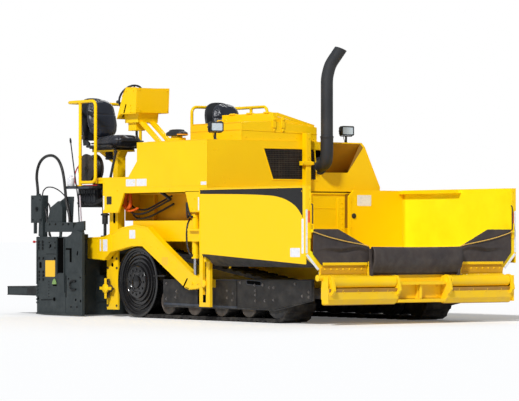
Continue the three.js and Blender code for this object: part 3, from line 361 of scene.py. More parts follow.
STACK = cast("stack_black", (0.026, 0.028, 0.033), (0.036, 0.038, 0.043), 0.5, 0.1, depth=0.0007, dust_most=0.0)
IRON = cast("bare_iron", (0.055, 0.048, 0.044), (0.11, 0.085, 0.070), 0.55, 0.6, depth=0.001)
WORN_STEEL = cast("worn_steel", (0.045, 0.055, 0.078), (0.075, 0.085, 0.105), 0.40, 0.5, depth=0.0005,
                  dust_most=0.2)
BOLT_STEEL = cast("bolt_steel", (0.15, 0.14, 0.14), (0.26, 0.24, 0.23), 0.32, 0.8, depth=0.0004, dust_most=0.1)
PALE_TUBE = cast("pale_tube", (0.55, 0.48, 0.52), (0.42, 0.36, 0.40), 0.35, depth=0.0003, dust_most=0.0)
HOSE = cast("hose_rubber", (0.012, 0.012, 0.013), (0.022, 0.021, 0.021), 0.42, grain=260.0, depth=0.0004,
            dust_most=0.1)
HOSE_RED = cast("hose_red", (0.55, 0.02, 0.03), (0.42, 0.015, 0.02), 0.4, grain=260.0, depth=0.0003,
                dust_most=0.0)
HARNESS = cast("harness_orange", (0.80, 0.13, 0.01), (0.60, 0.09, 0.01), 0.5, depth=0.0004, dust_most=0.0)
LAMP = cast("lamp_black", (0.016, 0.018, 0.022), (0.030, 0.032, 0.036), 0.4, grain=320.0, depth=0.0004,
            dust_most=0.0)
# near-black, glossless sheets laid where holes, slots, gaps and recesses show only shade: painted shade
PAINTED_GAP_SHADE = cast("painted_gap_shade_black", (0.002, 0.002, 0.002), (0.004, 0.004, 0.004), 0.9, dust_most=0.0, gloss=0.0)
VINYL = vinyl("seat_vinyl", (0.005, 0.008, 0.018), (0.009, 0.013, 0.025))
ROD = bright_rod("bright_rod", (0.60, 0.60, 0.63))
ROPE = braid("rope_braid", (0.92, 0.60, 0.10), (0.66, 0.36, 0.04), 120.0)
WHITE_LABEL = label_stock("white_label", (0.80, 0.80, 0.84), (0.66, 0.66, 0.72))
LABEL_YELLOW = label_stock("label_yellow", (0.90, 0.50, 0.0), (0.80, 0.45, 0.0))
REFLECT = label_stock("reflector_white", (0.80, 0.82, 0.86), (0.60, 0.63, 0.70))
REFLECT_ORANGE = label_stock("reflector_orange", (0.90, 0.13, 0.01), (0.75, 0.10, 0.01))
AMBER = label_stock("amber_glass", (0.80, 0.33, 0.02), (0.62, 0.24, 0.02))
LENS = facet_glass("lamp_lens", (0.10, 0.22, 0.42), (0.62, 0.72, 0.82))
RIBBED = ribbed_mat("ribbed_mat", (0.018, 0.018, 0.019), (0.06, 0.05, 0.045))

# The record's slot that each finish stands for; the other finishes have none.
SLOTS = {
    "yellow_paint": (YELLOW, PAINTED_SHADE_AMBER, PAINTED_DEEP_SHADE_YELLOW), "charcoal_paint": (CHARCOAL, GUARD),
    "screed_paint": (SCREED, EDGE_DARK), "track_rubber": (TRACK, GLOSS_BLACK), "flap_rubber": (FLAP,),
    "pipe_black": (STACK,), "seat_vinyl": (VINYL,), "bare_iron": (IRON, BOLT_STEEL), "rope": (ROPE,),
    "hose_rubber": (HOSE,), "air_hose_red": (HOSE_RED,), "lamp_black": (LAMP,),
}




# ---- shapes --------------------------------------------------------------------------
# A surface is (points, faces): points in datum millimetres, faces as tuples of point numbers.
def unit(way):
    way = np.asarray(way, float)
    return way / np.linalg.norm(way)


def basis(way):
    """Two unit vectors square to `way` and to each other, then `way` itself, right-handed."""
    n = unit(way)
    a = unit(np.cross(n, (0, 0, 1) if abs(n[2]) < 0.9 else (1, 0, 0)))
    return a, np.cross(n, a), n


def loft(rings, caps=True):
    """Skin through rings: point (i, j) of the surface is point j of ring i; flat faces close the ends."""
    rings = np.asarray(rings, float)
    m, n = rings.shape[:2]
    i, j = np.meshgrid(np.arange(m - 1), np.arange(n), indexing="ij")
    k = (j + 1) % n
    faces = np.stack([i * n + j, i * n + k, (i + 1) * n + k, (i + 1) * n + j], -1).reshape(-1, 4).tolist()
    if caps:
        faces += [list(range(n))[::-1], list(range((m - 1) * n, m * n))]
    return rings.reshape(-1, 3), faces


OUT, RIGHT, AHEAD, BACK, UP = (0, 1, 0), (0, -1, 0), (1, 0, 0), (-1, 0, 0), (0, 0, 1)   # left side faces out
# Each plane's two axes, its normal's axis, and the turn that makes faces point outwards.
PLANES = {"side": (0, 2, 1, -1), "front": (1, 2, 0, 1), "top": (0, 1, 2, 1)}


def prism(plane, outline, low, high):
    """An outline in one plane carried straight along that plane's normal from low to high."""
    a, b, depth, turn = PLANES[plane]
    flat = np.asarray(outline, float)
    x, y = flat.T
    if turn * np.sum(x * np.roll(y, -1) - np.roll(x, -1) * y) < 0:
        flat = flat[::-1]
    rings = np.zeros((2, len(flat), 3))
    rings[:, :, a], rings[:, :, b] = flat[:, 0], flat[:, 1]
    rings[0, :, depth], rings[1, :, depth] = low, high
    return loft(rings)


def prisms(plane, *rows):
    """Several prisms on one plane: each row is outline, low, high."""
    return [prism(plane, *each) for each in rows]


def slab(plane, a0, a1, b0, b1, low, high):
    """A rectangle in one plane carried from low to high."""
    return prism(plane, [(a0, b0), (a1, b0), (a1, b1), (a0, b1)], low, high)


def slabs(plane, *rows):
    return [slab(plane, *each) for each in rows]


def block(x0, x1, y0, y1, z0, z1):
    """A plain bar between two corners; its piece rounds the edges."""
    return slab("top", x0, x1, y0, y1, z0, z1)


def blocks(*rows):
    return [block(*each) for each in rows]


def tube(path, radius, sides=12, closed=False, caps=True, over=None):
    """A circle of `radius` (one number, or one for each station) carried along the path.
    It is kept from twisting by the direction `over`, or the one in which the path spreads least."""
    path = np.asarray(path, float)
    radius = np.broadcast_to(np.asarray(radius, float), len(path))[:, None, None]
    along = np.roll(path, -1, 0) - np.roll(path, 1, 0) if closed else np.gradient(path, axis=0)
    along /= np.linalg.norm(along, axis=1, keepdims=True)
    if over is None:
        over = np.linalg.svd(path - path.mean(0))[2][-1]
    side = over - along * (along @ np.asarray(over, float))[:, None]
    side /= np.linalg.norm(side, axis=1, keepdims=True)
    up = np.cross(along, side)
    turn = np.linspace(0, 2 * np.pi, sides, endpoint=False)[:, None]
    rings = path[:, None] + radius * (np.cos(turn) * side[:, None] + np.sin(turn) * up[:, None])
    if closed:
        rings = np.concatenate([rings, rings[:1]])
    return loft(rings, caps and not closed)


def spline(points, count=60):
    """Smooth path: through each point, with the slope there set by its two neighbours (cubic Hermite)."""
    p = np.asarray(points, float)
    t = np.concatenate([[0], np.cumsum(np.linalg.norm(np.diff(p, axis=0), axis=1))])
    slope = np.gradient(p, t, axis=0)
    at = np.linspace(0, t[-1], count)
    i = np.clip(np.searchsorted(t, at, "right") - 1, 0, len(t) - 2)
    h = (t[i + 1] - t[i])[:, None]
    s = ((at - t[i]) / (t[i + 1] - t[i]))[:, None]
    return ((2 * s**3 - 3 * s**2 + 1) * p[i] + (s**3 - 2 * s**2 + s) * h * slope[i]
            + (3 * s**2 - 2 * s**3) * p[i + 1] + (s**3 - s**2) * h * slope[i + 1])


def bent(points, bend, steps=6):
    """Straight runs with each corner replaced by a parabola that starts and ends `bend` away from it."""
    p = [np.asarray(q, float) for q in points]
    path = [p[0]]
    for before, corner, after in zip(p, p[1:], p[2:]):
        a = corner + unit(before - corner) * bend
        b = corner + unit(after - corner) * bend
        t = np.linspace(0, 1, steps)[:, None]
        path.extend((1 - t)**2 * a + 2 * t * (1 - t) * corner + t**2 * b)
    return np.array(path + [p[-1]])


def lathe(profile, centre, way, sides=32):
    """(radius, height) points turned about the line through `centre` along `way`."""
    a, b, n = basis(way)
    turn = np.linspace(0, 2 * np.pi, sides, endpoint=False)
    around = np.cos(turn)[:, None] * a + np.sin(turn)[:, None] * b
    rings = [np.asarray(centre, float) + n * h + max(r, 0.01) * around for r, h in profile]
    return loft(rings)


def bolt(centre, way, size):
    """Washer and six-sided head: the radius follows a circle at the washer and a hexagon above it."""
    a, b, n = basis(way)
    turn = np.linspace(0, 2 * np.pi, 12, endpoint=False)
    hexagon = 0.87 / np.cos((turn + np.pi / 6) % (np.pi / 3) - np.pi / 6)
    around = np.cos(turn)[:, None] * a + np.sin(turn)[:, None] * b
    rings = [(1.45, 0, 0), (1.45, 0, 0.2), (0, 1, 0.2), (0, 1, 0.75), (0, 0.86, 0.95)]
    return loft([np.asarray(centre, float) + size * (h * n + (c + x * hexagon)[:, None] * around)
                 for c, x, h in rings])


def bolts(spots, way, size):
    return [bolt(spot, way, size) for spot in spots]


def side_bolts(spots, y, size):
    """Bolts that face out from the plane at y; spots are (x, z) points."""
    return bolts([(x, y, z) for x, z in spots], OUT, size)


def row(start, end, count):
    """Evenly spaced spots from start to end."""
    return np.linspace(np.asarray(start, float), np.asarray(end, float), count)


def ring_of(centre, way, radius, count, start=0.0):
    """Spots round a circle about `way`."""
    a, b, _ = basis(way)
    turn = start + np.linspace(0, 2 * np.pi, count, endpoint=False)
    return np.asarray(centre, float) + radius * (np.cos(turn)[:, None] * a + np.sin(turn)[:, None] * b)


def weld(path, radius=5.0, step=7.0):
    """Bead along a line: a thin tube whose radius swells and narrows once every `step` millimetres."""
    path = np.asarray(path, float)
    gone = np.concatenate([[0], np.cumsum(np.linalg.norm(np.diff(path, axis=0), axis=1))])
    at = np.linspace(0, gone[-1], max(4, int(gone[-1] / step) * 3))
    spots = np.stack([np.interp(at, gone, path[:, c]) for c in range(3)], 1)
    return tube(spots, radius * (0.85 + 0.15 * np.sin(2 * np.pi * at / step)), 6)


def arc(centre, radius, start, end, count=10):
    """(a, b) points on a circle from one angle to another, in degrees."""
    turn = np.radians(np.linspace(start, end, count))
    return [(centre[0] + radius * math.cos(t), centre[1] + radius * math.sin(t)) for t in turn]


def slot_outline(centre, length, width, tilt=0.0, count=8):
    """Round-ended slot as (a, b) points, its length along `tilt` degrees."""
    half = (length - width) / 2
    shape = arc((half, 0), width / 2, -90, 90, count) + arc((-half, 0), width / 2, 90, 270, count)
    c, s = math.cos(math.radians(tilt)), math.sin(math.radians(tilt))
    return [(centre[0] + c * a - s * b, centre[1] + s * a + c * b) for a, b in shape]


def rounded(a0, a1, b0, b1, radius, count=5):
    """Rectangle with round corners as (a, b) points."""
    left, right, foot, top = a0 + radius, a1 - radius, b0 + radius, b1 - radius
    return (arc((right, foot), radius, -90, 0, count) + arc((right, top), radius, 0, 90, count)
            + arc((left, top), radius, 90, 180, count) + arc((left, foot), radius, 180, 270, count))


def flipped(surface):
    """The same surface on the other side of the machine: y changes sign and the faces turn round."""
    points, faces = surface
    return np.asarray(points, float) * [1, -1, 1], [list(f)[::-1] for f in faces]



class Piece:
    """Gathers surfaces and makes them one object that rides on a CAD body. A piece with left=True is the
    mirror image of what is added to it."""

    def __init__(self, name, material, body="tractor", left=False):
        self.name, self.body, self.material, self.left = name, body, material, left
        self.points, self.faces, self.count = [], [], 0

    def add(self, *surfaces, both=False, left=False):
        """Surfaces as given; with both, their mirror image too; with left, the mirror image alone."""
        for surface in surfaces:
            if isinstance(surface, list):
                self.add(*surface, both=both, left=left)
                continue
            kept = [] if left or self.left else [surface]
            if both or left or self.left:
                kept.append(flipped(surface))
            for points, faces in kept:
                self.points.append(np.asarray(points, float))
                self.faces += [[v + self.count for v in f] for f in faces]
                self.count += len(points)
        return self

    def done(self, bevel=0.0, wall=0.0, smooth=35):
        """The finished object; wall and bevel in millimetres, smooth the angle past which edges are sharp."""
        mesh = bpy.data.meshes.new(self.name)
        mesh.from_pydata(placed(np.concatenate(self.points)).tolist(), [], self.faces)
        mesh.polygons.foreach_set("use_smooth", np.ones(len(mesh.polygons), bool))
        mesh.set_sharp_from_angle(angle=math.radians(smooth))
        mesh.materials.append(self.material)
        thing = bpy.data.objects.new(self.name, mesh)
        bpy.context.scene.collection.objects.link(thing)
        if wall:
            thick = thing.modifiers.new("wall", "SOLIDIFY")
            thick.thickness, thick.offset = wall / 1000, 0.0
        if bevel:
            edge = thing.modifiers.new("edge", "BEVEL")
            edge.width, edge.segments = bevel / 1000, 2
            edge.limit_method, edge.angle_limit = "ANGLE", math.radians(40)
            edge.harden_normals = True
        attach(thing, self.body)
        for slot, finishes in SLOTS.items():
            self.material in finishes
        return thing


def make(name, material, *surfaces, body="tractor", both=False, left=False, **finish):
    """One piece from surfaces in one call."""
    return Piece(name, material, body, left).add(*surfaces, both=both).done(**finish)



# ---- hopper and push rollers -----------------------------------------------------------
WING_OUT, WING_IN, HOPPER_FRONT = 1600, 1530, 2420
ROLLER_X, ROLLER_Z = 2555, 500


def wing_pieces(side):
    """Stripe, reflectors, fasteners and rear-plate fittings of one hopper wing."""
    body, flip = f"hopper_wing_{side}_body", dict(left=side == "right")
    upper = [(338, 1579), (2362, 1579)]
    sweep = spline([(2366, 1235, 0), (2340, 1270, 0), (2285, 1330, 0), (2190, 1392, 0), (2050, 1446, 0),
                    (1858, 1486, 0), (1600, 1504, 0), (1200, 1518, 0), (700, 1527, 0), (338, 1532, 0)], 40)
    make(f"wing_stripe_{side}", STRIPE_BLACK, prism("side", upper + [tuple(p[:2]) for p in sweep], WING_OUT,
                                                    WING_OUT + 1.0), body=body, **flip)
    chamfer = [(1598, 806), (1572, 822), (1404, 650), (1430, 634)]
    make(f"wing_reflector_{side}", REFLECT, prism("side", rounded(2346, 2386, 826, 1224, 8), WING_OUT,
                                                  WING_OUT + 1.4), prisms("front",
         (rounded(1572, 1598, 830, 1330, 6), HOPPER_FRONT, HOPPER_FRONT + 1.4),
         (chamfer, HOPPER_FRONT, HOPPER_FRONT + 1.6)), body=body, **flip)
    make(f"wing_marker_{side}", REFLECT_ORANGE, prism("front", rounded(1536, 1566, 1150, 1318, 6), HOPPER_FRONT,
                                                      HOPPER_FRONT + 2.0), body=body, **flip)
    make(f"wing_label_{side}", WHITE_LABEL, prism("side", rounded(2130, 2316, 786, 890, 8), WING_OUT,
                                                  WING_OUT + 1.0), prism("front",
         rounded(790, 1012, 1405, 1540, 8), 360, 361.2), body=body, **flip)
    trim = Piece(f"wing_trim_{side}", YELLOW, body, **flip)
    flip = dict(**flip)
    trim.add(slab("side", 331, 2419, 1597, 1604, WING_IN + 1, WING_OUT + 5))
    trim.add(tube([(332, WING_OUT + 1, 843), (332, WING_OUT + 1, 1595)], 6, 8))
    trim.add(tube([(336, WING_OUT - 3, 822), (2412, WING_OUT - 3, 709)], 7, 10))
    trim.add(blocks((2421, 2433, WING_IN - 4, WING_OUT - 34, 1000, 1180), (361, 366, 672, 700, 770, 1520)))
    trim.add(weld([(360, 1528, 860), (360, 1528, 1590)], 7), weld([(362, 1360, 745), (2412, 1360, 745)], 6))
    trim.add(weld([(1484, 1526, 1556), (1484, 1464, 1556)], 5), weld([(2414, 1530, 862), (2414, 1530, 1590)],
             5))
    trim.done(bevel=2.5)
    # the sill cover is darker amber: painted shade
    make(f"wing_sill_{side}", PAINTED_SHADE_AMBER, prism("front", [(720, 592), (1378, 592), (1388, 640), (1352, 690),
                                                           (735, 690)], 2420, 2427), body=body, **flip)
    # a near-black strip along the wing's underside: painted shade
    underside_shade = Piece(f"wing_underside_painted_shade_{side}", CHARCOAL, body, **flip)
    underside_shade.add(prism("front", [(1372, 664), (1568, 799), (1568, 806), (1372, 671)], 334, 2412))
    underside_shade.done()
    ring = lathe([(16, 0), (20, 4), (20, 10), (14, 14)], (2430, WING_IN - 10.4, 1082), (1, 0, 0), 20)
    iron = Piece(f"wing_fasteners_{side}", YELLOW, body, **flip)
    iron.add(ring, bolts(row((2427, 790, 645), (2427, 1330, 645), 7), AHEAD, 8))
    iron.add(bolts(row((2421, 1548, 1345), (2421, 1548, 1560), 3), AHEAD, 8))
    iron.add(tube(bent([(2433, WING_IN - 6, 1160), (2462, WING_IN - 6, 1160), (2462, WING_IN - 6, 1095)], 12),
                  6, 8))
    iron.add(bolts(row((366, 686, 830), (366, 686, 1460), 5), AHEAD, 9))
    iron.add(bolts(row((2350, WING_OUT + 1.4, 1262), (2350, WING_OUT + 1.4, 1540), 2), OUT, 5))
    iron.done()
    dark = Piece(f"wing_hook_rod_{side}", CHARCOAL, body, **flip)
    dark.add(tube(bent([(2446, 1518, 1112), (2446, 1518, 1378), (2432, 1518, 1392), (2422, 1518, 1392)], 8), 7,
                  10))
    dark.add(tube([(2446, 1518, 1112), (2446, 1500, 1096)], 6, 8))
    dark.add(lathe([(0, 0), (34, 0), (34, 6), (22, 10), (22, 16), (0, 18)], (361, 735, 1278), AHEAD, 24))
    dark.done()


def flap_sheet(side):
    """Rubber sheet at the hopper's mouth: x bulges as a sum of two slanting waves that die out at its edges."""
    y0, y1 = 682.0, 1502.0
    u, v = np.meshgrid(np.linspace(0, 1, 57), np.linspace(0, 1, 33), indexing="ij")
    y = y0 + (y1 - y0) * u
    top = np.interp(y, [682, 720, 1140, 1502], [898, 912, 1106, 1106])
    foot = np.interp(y, [682, 1380, 1502], [694, 694, 822])
    z = foot + (top - foot) * v
    edge = np.sin(np.pi * np.clip(u, 0.02, 1)) ** 0.5 * np.sin(np.pi * (0.12 + 0.8 * v)) ** 0.5
    fold = 26 * np.exp(-((z - (832 + 70 * np.sin(2.6 * u + 0.4) + 18 * np.sin(9 * u))) / 15) ** 2)
    fold -= 16 * np.exp(-((z - (790 + 70 * np.sin(2.6 * u + 0.4) + 18 * np.sin(9 * u))) / 20) ** 2)
    x = 2434 + edge * (fold * np.clip(1.5 - 1.2 * u, 0, 1) + 6 * np.sin(5 * u + 2.0 * v) * v)
    points = np.stack([x, y, z], -1)
    m, n = u.shape
    i, j = np.meshgrid(np.arange(m - 1), np.arange(n - 1), indexing="ij")
    faces = np.stack([i * n + j, (i + 1) * n + j, (i + 1) * n + j + 1, i * n + j + 1], -1).reshape(-1, 4)
    flip = dict(left=side == "right")
    piece = Piece(f"side_flap_sheet_{side}", FLAP, f"hopper_wing_{side}_body", **flip)
    piece.add((points.reshape(-1, 3), faces.tolist()))
    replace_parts(piece.done(wall=11, bevel=0), f"side_flap_{side}")
    make(f"side_flap_strip_{side}", YELLOW, block(2441, 2450, 720, 1370, 690, 722),
         body=f"hopper_wing_{side}_body", bevel=2, **flip)


def centre_flap_sheet():
    """Folded rubber: one closed teardrop of a sheet, swept across, its belly swelling between the ends."""
    turn = np.linspace(0, 1, 61)
    outer = spline([(2466, 0, 574), (2467, 0, 700), (2466, 0, 800), (2478, 0, 868), (2510, 0, 900),
                    (2540, 0, 872), (2552, 0, 790), (2536, 0, 700), (2508, 0, 640), (2490, 0, 598)], 61)
    y = np.linspace(-700, 646, 47)
    belly = 1 + 0.05 * np.sin(np.pi * (y + 700) / 1346)
    wave = 3.0 * np.sin(y / 97.0)[:, None] * np.sin(np.pi * turn)[None, :]
    x = 2466 + (outer[:, 0] - 2466)[None, :] * belly[:, None] + wave
    z = outer[:, 2][None, :] - 6 * np.sin(np.pi * (y[:, None] + 700) / 1346) * (turn[None, :] > 0.3)
    points = np.stack([x, np.broadcast_to(y[:, None], x.shape), z], -1)
    m, n = x.shape
    i, j = np.meshgrid(np.arange(m - 1), np.arange(n - 1), indexing="ij")
    faces = np.stack([i * n + j, i * n + j + 1, (i + 1) * n + j + 1, (i + 1) * n + j], -1).reshape(-1, 4)
    piece = Piece("centre_flap_sheet", FLAP).add((points.reshape(-1, 3), faces.tolist()))
    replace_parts(piece.done(wall=9), "centre_flap")
    ends = Piece("centre_flap_hangers", FLAP)
    for y0 in (-716, 606):
        ends.add(prism("side", [(2478, 548), (2512, 548), (2514, 640), (2478, 880), (2466, 880)], y0, y0 + 34))
    ends.done(bevel=3)


def beam_pieces():
    """Push-roller beam: ear plates, folded skirts with their lower lip, the rear bar, bolts and web plates."""
    face = 2476
    plates = Piece("roller_beam_plates", YELLOW)
    bar = [(2486, -1470, 546), (2486, -700, 540)]
    plates.add(tube(bar, 31, 20), tube([(2486, 1330, 546), (2486, 700, 540)], 31, 20))
    plates.add(lathe([(31, 0), (38, 3), (38, 10), (20, 14)], (2486, -1474, 546), RIGHT, 24))
    for y0, y1 in ((372, 404), (1338, 1376)):
        ear = [(face, 330), (2620, 350), (2655, 400), (2640, 470)]
        ear += arc((ROLLER_X, ROLLER_Z), 74, 10, 120, 8) + [(face, 560)]
        plates.add(prism("side", ear, y0, y1), both=True)
    for y in (540, 760, 980, 1200):
        plates.add(prism("side", [(2478, 250), (2518, 250), (2580, 336), (2614, 408), (2600, 418), (2478, 418)],
                         y, y + 6), both=True)
    skirt = [(2524, 424), (2612, 424), (2613, 412), (2572, 330), (2512, 246), (2500, 246), (2560, 334),
             (2602, 414), (2524, 414)]
    # the skirts under the roller are coloured deep brown as painted shade
    folded = Piece("roller_beam_skirts", PAINTED_DEEP_SHADE_YELLOW)
    folded.add(prism("side", skirt, 380, 1404), tube([(2508, 372, 244), (2508, 1404, 244)], 12, 12), both=True)
    folded.done(bevel=2)
    plates.add(blocks((2560, 2580, -360, 360, 462, 494), (2560, 2580, -360, 360, 258, 290),
                      (2536, 2556, -16, 16, 292, 460), (2478, 2484, -350, 350, 300, 455)))
    plates.add(prism("side", [(2478, 560), (2500, 560), (2512, 520), (2500, 470), (2478, 470)], 410, 430),
               both=True)
    plates.add(slabs("front", (1404, 1414, 250, 560, 2478, 2596), (70, 598, 600, 650, 2456, 2464)), both=True)
    plates.done(bevel=3)
    iron = Piece("roller_beam_fasteners", YELLOW)
    for y, way in ((1376, 1), (404, 1), (372, -1)):
        iron.add(lathe([(44, 0), (44, 8), (34, 14), (16, 16), (16, 26), (0, 27)],
                       (ROLLER_X, y, ROLLER_Z), (0, way, 0),
                       28), both=True)
        studs = ring_of((ROLLER_X, y + way * 8, ROLLER_Z), (0, way, 0), 36, 4, 0.6)
        iron.add(bolts(studs, (0, way, 0), 6), both=True)
        iron.add(bolts([(2510, y, 400), (2590, y, 400)], (0, way, 0), 9), both=True)
    for y in (470, 700, 960, 1180):
        iron.add(bolts([(2596, y, 376), (2570, y + 60, 326)], (0.9, 0, -0.45), 8), both=True)
    iron.add(bolts(row((2464, 110, 625), (2464, 560, 625), 6), AHEAD, 9), both=True)
    iron.add(bolts([(2484, -300, 330), (2484, -300, 430), (2484, 300, 330), (2484, 300, 430)], AHEAD, 10))
    iron.done()
    for side, sign in (("left", 1), ("right", -1)):
        body = f"push_roller_{side}_body"
        rim = [(60, 0), (66.5, 3), (66.5, 22), (65.4, 26), (65.4, 884), (66.5, 888), (66.5, 907), (60, 910)]
        skin = lathe(rim, (ROLLER_X, sign * 1330, ROLLER_Z), (0, -sign, 0), 48)
        piece = make(f"push_roller_skin_{side}", YELLOW, skin, body=body)
        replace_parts(piece, f"push_roller_{side}")
        ends = Piece(f"push_roller_ends_{side}", IRON, body)
        for y in (sign * 420, sign * 1330):
            way = (0, 1 if abs(y) == 1330 and sign > 0 or abs(y) == 420 and sign < 0 else -1, 0)
            ends.add(lathe([(58, -1), (58, 2), (40, 3), (38, 6), (25, 7), (25, 44)],
                           (ROLLER_X, y, ROLLER_Z), way, 32))
            ends.add(bolts(ring_of((ROLLER_X, y + way[1] * 3, ROLLER_Z), way, 48, 4), way, 5))
        ends.done()


def conveyor_pieces():
    """Feed floor: two slat chains, each slat a shallow angle bar, with links and guard covers between."""
    slats = Piece("conveyor_slats", IRON)
    for x in np.arange(-1850, 2380, 152):
        slats.add(prism("side", [(x, 701), (x + 46, 701), (x + 46, 712), (x + 14, 712), (x + 10, 726),
                                 (x, 726)], 46, 556), both=True)
    slats.done(bevel=1.5)
    chains = Piece("conveyor_chains", IRON)
    for y in (28, 574):
        for x in np.arange(-1850, 2380, 76):
            chains.add(prism("side", slot_outline((x + 38, 713), 84, 24, 0, 4), y - 8, y + 8), both=True)
    chains.done()
    floor = Piece("conveyor_guards", IRON)
    floor.add(prism("front", [(-14, 700), (14, 700), (9, 738), (-9, 738)], -1900, 2385))
    floor.add(prism("front", [(590, 700), (655, 700), (655, 712), (600, 742), (590, 742)], 345, 2385),
              both=True)
    floor.done(bevel=2)
    # deep brown sheets on the front wall beside the conveyor: painted shade of the recess
    make("front_wall_painted_shade", PAINTED_DEEP_SHADE_YELLOW, block(300.2, 302, 640, 1190, 1130, 1556), both=True)
    wall = Piece("front_wall_fittings", YELLOW)
    wall.add(slabs("front", (512, 630, 1040, 1500, 300, 313), (110, 500, 1120, 1136, 300, 312),
                   (120, 498, 1366, 1374, 300, 305), (110, 640, 1545, 1562, 300, 316)), both=True)
    wall.add(prism("side", [(300, 1100), (316, 1112), (316, 1560), (300, 1560)], 96, 112), both=True)
    wall.add(blocks((280, 286, 52, 118, 1970, 2290), (290, 300, -30, 160, 1908, 1948)))
    wall.add(slab("front", -520, 520, 1100, 1120, 300, 318))
    wall.done(bevel=2.5)
    iron = Piece("front_wall_fasteners", YELLOW)
    iron.add(bolts(row((313, 585, 1120), (313, 585, 1440), 6), AHEAD, 8), both=True)
    iron.add(bolts([(300, -10, 1928), (300, 140, 1928), (286, 85, 2240), (286, 85, 2010)], AHEAD, 9))
    iron.done()


for wing_side in ("left", "right"):
    wing_pieces(wing_side)
    flap_sheet(wing_side)
centre_flap_sheet()
beam_pieces()
conveyor_pieces()


# ---- hood, engine cover, exhaust and lamps ----------------------------------------------
def hood_pieces():
    """Panel seams, latches, labels, bolts; the dark gaps under the hood's edges and the pocket's facets are
    painted shade.
    """
    # near-black strips along the hood's panel edges: painted shade in the gaps
    seam = Piece("hood_seams", PAINTED_GAP_SHADE)
    seam.add(blocks((-1330, 196, -1401, -1399.6, 1567, 1573), (-1340, 196, 1284.6, 1286, 1597, 1603)))
    seam.add(slab("front", -1370, 1280, 1561, 1579, 198, 203))
    seam.add(blocks((-1345, 190, 975, 979, 2196, 2201.2), (-1348, -1344, -1370, 970, 2198, 2201)))
    seam.add(slab("front", 900, 1280, 1567, 1577, 201, 206))
    seam.done()
    trim = Piece("hood_trim", YELLOW)
    trim.add(tube([(-1078, -1399, 2197), (199, -1399, 2197)], 5, 8), tube([(199, -1399, 1580),
             (199, -1399, 2197)], 5, 8))
    trim.add(slab("side", -1500, 194, 1640, 1646, -1402.5, -1399))
    trim.add(prisms("front", ([(-1374, 1584), (-1374, 1604), (1280, 1604), (1280, 1584)], 199, 203),
                    ([(-560, 2104), (246, 2104), (244, 2118), (-566, 2118)], 199, 206), ([(-422, 1712),
             (285, 1712), (285, 1726), (-416, 1726)], 199, 206), ([(-416, 1726), (-404, 1726), (-545, 2104),
             (-557, 2104)], 199, 206), ([(266, 1726), (285, 1726), (248, 2104), (229, 2104)], 199, 206)))
    trim.add(tube([(199, 1283, 1640), (199, 1036, 2147), (199, 984, 2198)], 5, 8))
    for x in (-1150, -650, -150):
        trim.add(prism("side", rounded(x - 45, x + 45, 1600, 1632, 6), 1284.8, 1293))
        trim.add(block(x - 60, x + 60, 958, 982, 2200, 2208))
    trim.done(bevel=2)
    iron = Piece("hood_fasteners", YELLOW)
    iron.add(bolts([(200, y, z) for y, z in ((-1290, 2080), (-1240, 2080), (-1165, 1745), (-1115, 1745),
                                             (-1140, 1680), (-640, 1640), (880, 1640), (1180, 1640),
                                             (-1290, 1640), (640, 1640))], AHEAD, 7))
    iron.add(bolts([(206, y, 2111) for y in (-500, -160, 190)] + [(206, y, 1719) for y in (-360, -80, 190)],
                   AHEAD, 5))
    iron.add(bolts([(x, -1400, z) for x, z in ((-1380, 1700), (-1130, 2090), (150, 2150), (150, 1700),
                                               (-600, 1604), (-1450, 1604))], RIGHT, 6))
    iron.add(bolts([(x, 1293, 1616) for x in (-1180, -1120, -680, -620, -180, -120)], OUT, 6))
    iron.done()
    # deep brown skins on the pocket's roof and slope behind the exhaust: painted shade
    roof = np.array([(201, 482, 2186), (201, 958, 2186), (-38, 938, 1822), (-38, 482, 1822)], float)
    slope = np.array([(201, 962, 2186), (201, 1008, 2140), (201, 764, 1824), (-36, 938, 1822)], float)
    make("hood_pocket_painted_shade", PAINTED_DEEP_SHADE_YELLOW, loft([roof + [0.5, 0, -0.3], roof + [3, 0, -2]]),
         loft([slope + [0, -0.5, -0.2], slope + [0, -3, -1]]))
    make("hood_labels", WHITE_LABEL, prisms("side", (rounded(-1560, -1345, 1652, 1742, 6), -1401.2, -1400),
                                            (rounded(-1325, -1100, 1652, 1742, 6), -1401.2, -1400),
                                            (rounded(70, 186, 1648, 1688, 5), -1401.2, -1400)))


def grille_pieces():
    """Woven wire over the grille: thin round wires both ways, each set kept inside the slanting frame."""
    wires = Piece("grille_wires", IRON)
    for y in np.arange(-535, 255, 24.0):
        foot = max(1730.0, 1730 + (-400 - y) / 140 * 370)
        head = min(2100.0, 1730 + (262 - y) / 37 * 370)
        wires.add(tube([(194, y, foot), (194, y, head)], 2.6, 6))
    for z in np.arange(1742, 2100, 24.0):
        wires.add(tube([(199, -400 - (z - 1730) / 370 * 140, z), (199, 262 - (z - 1730) / 10, z)], 2.6, 6))
    for y in (-300, -120, 60):
        wires.add(slab("front", y - 7, y + 7, 1730, 2100, 186, 191))
    wires.done()
    # near-black slats behind the wires: painted shade in the grille's recess
    cooler = Piece("grille_core", PAINTED_GAP_SHADE)
    for z in np.arange(1740, 2095, 16.0):
        reach = -398 - (z - 1730) / 370 * 140
        cooler.add(slab("side", 190, 192, z, z + 5, reach, 223))
    cooler.done()


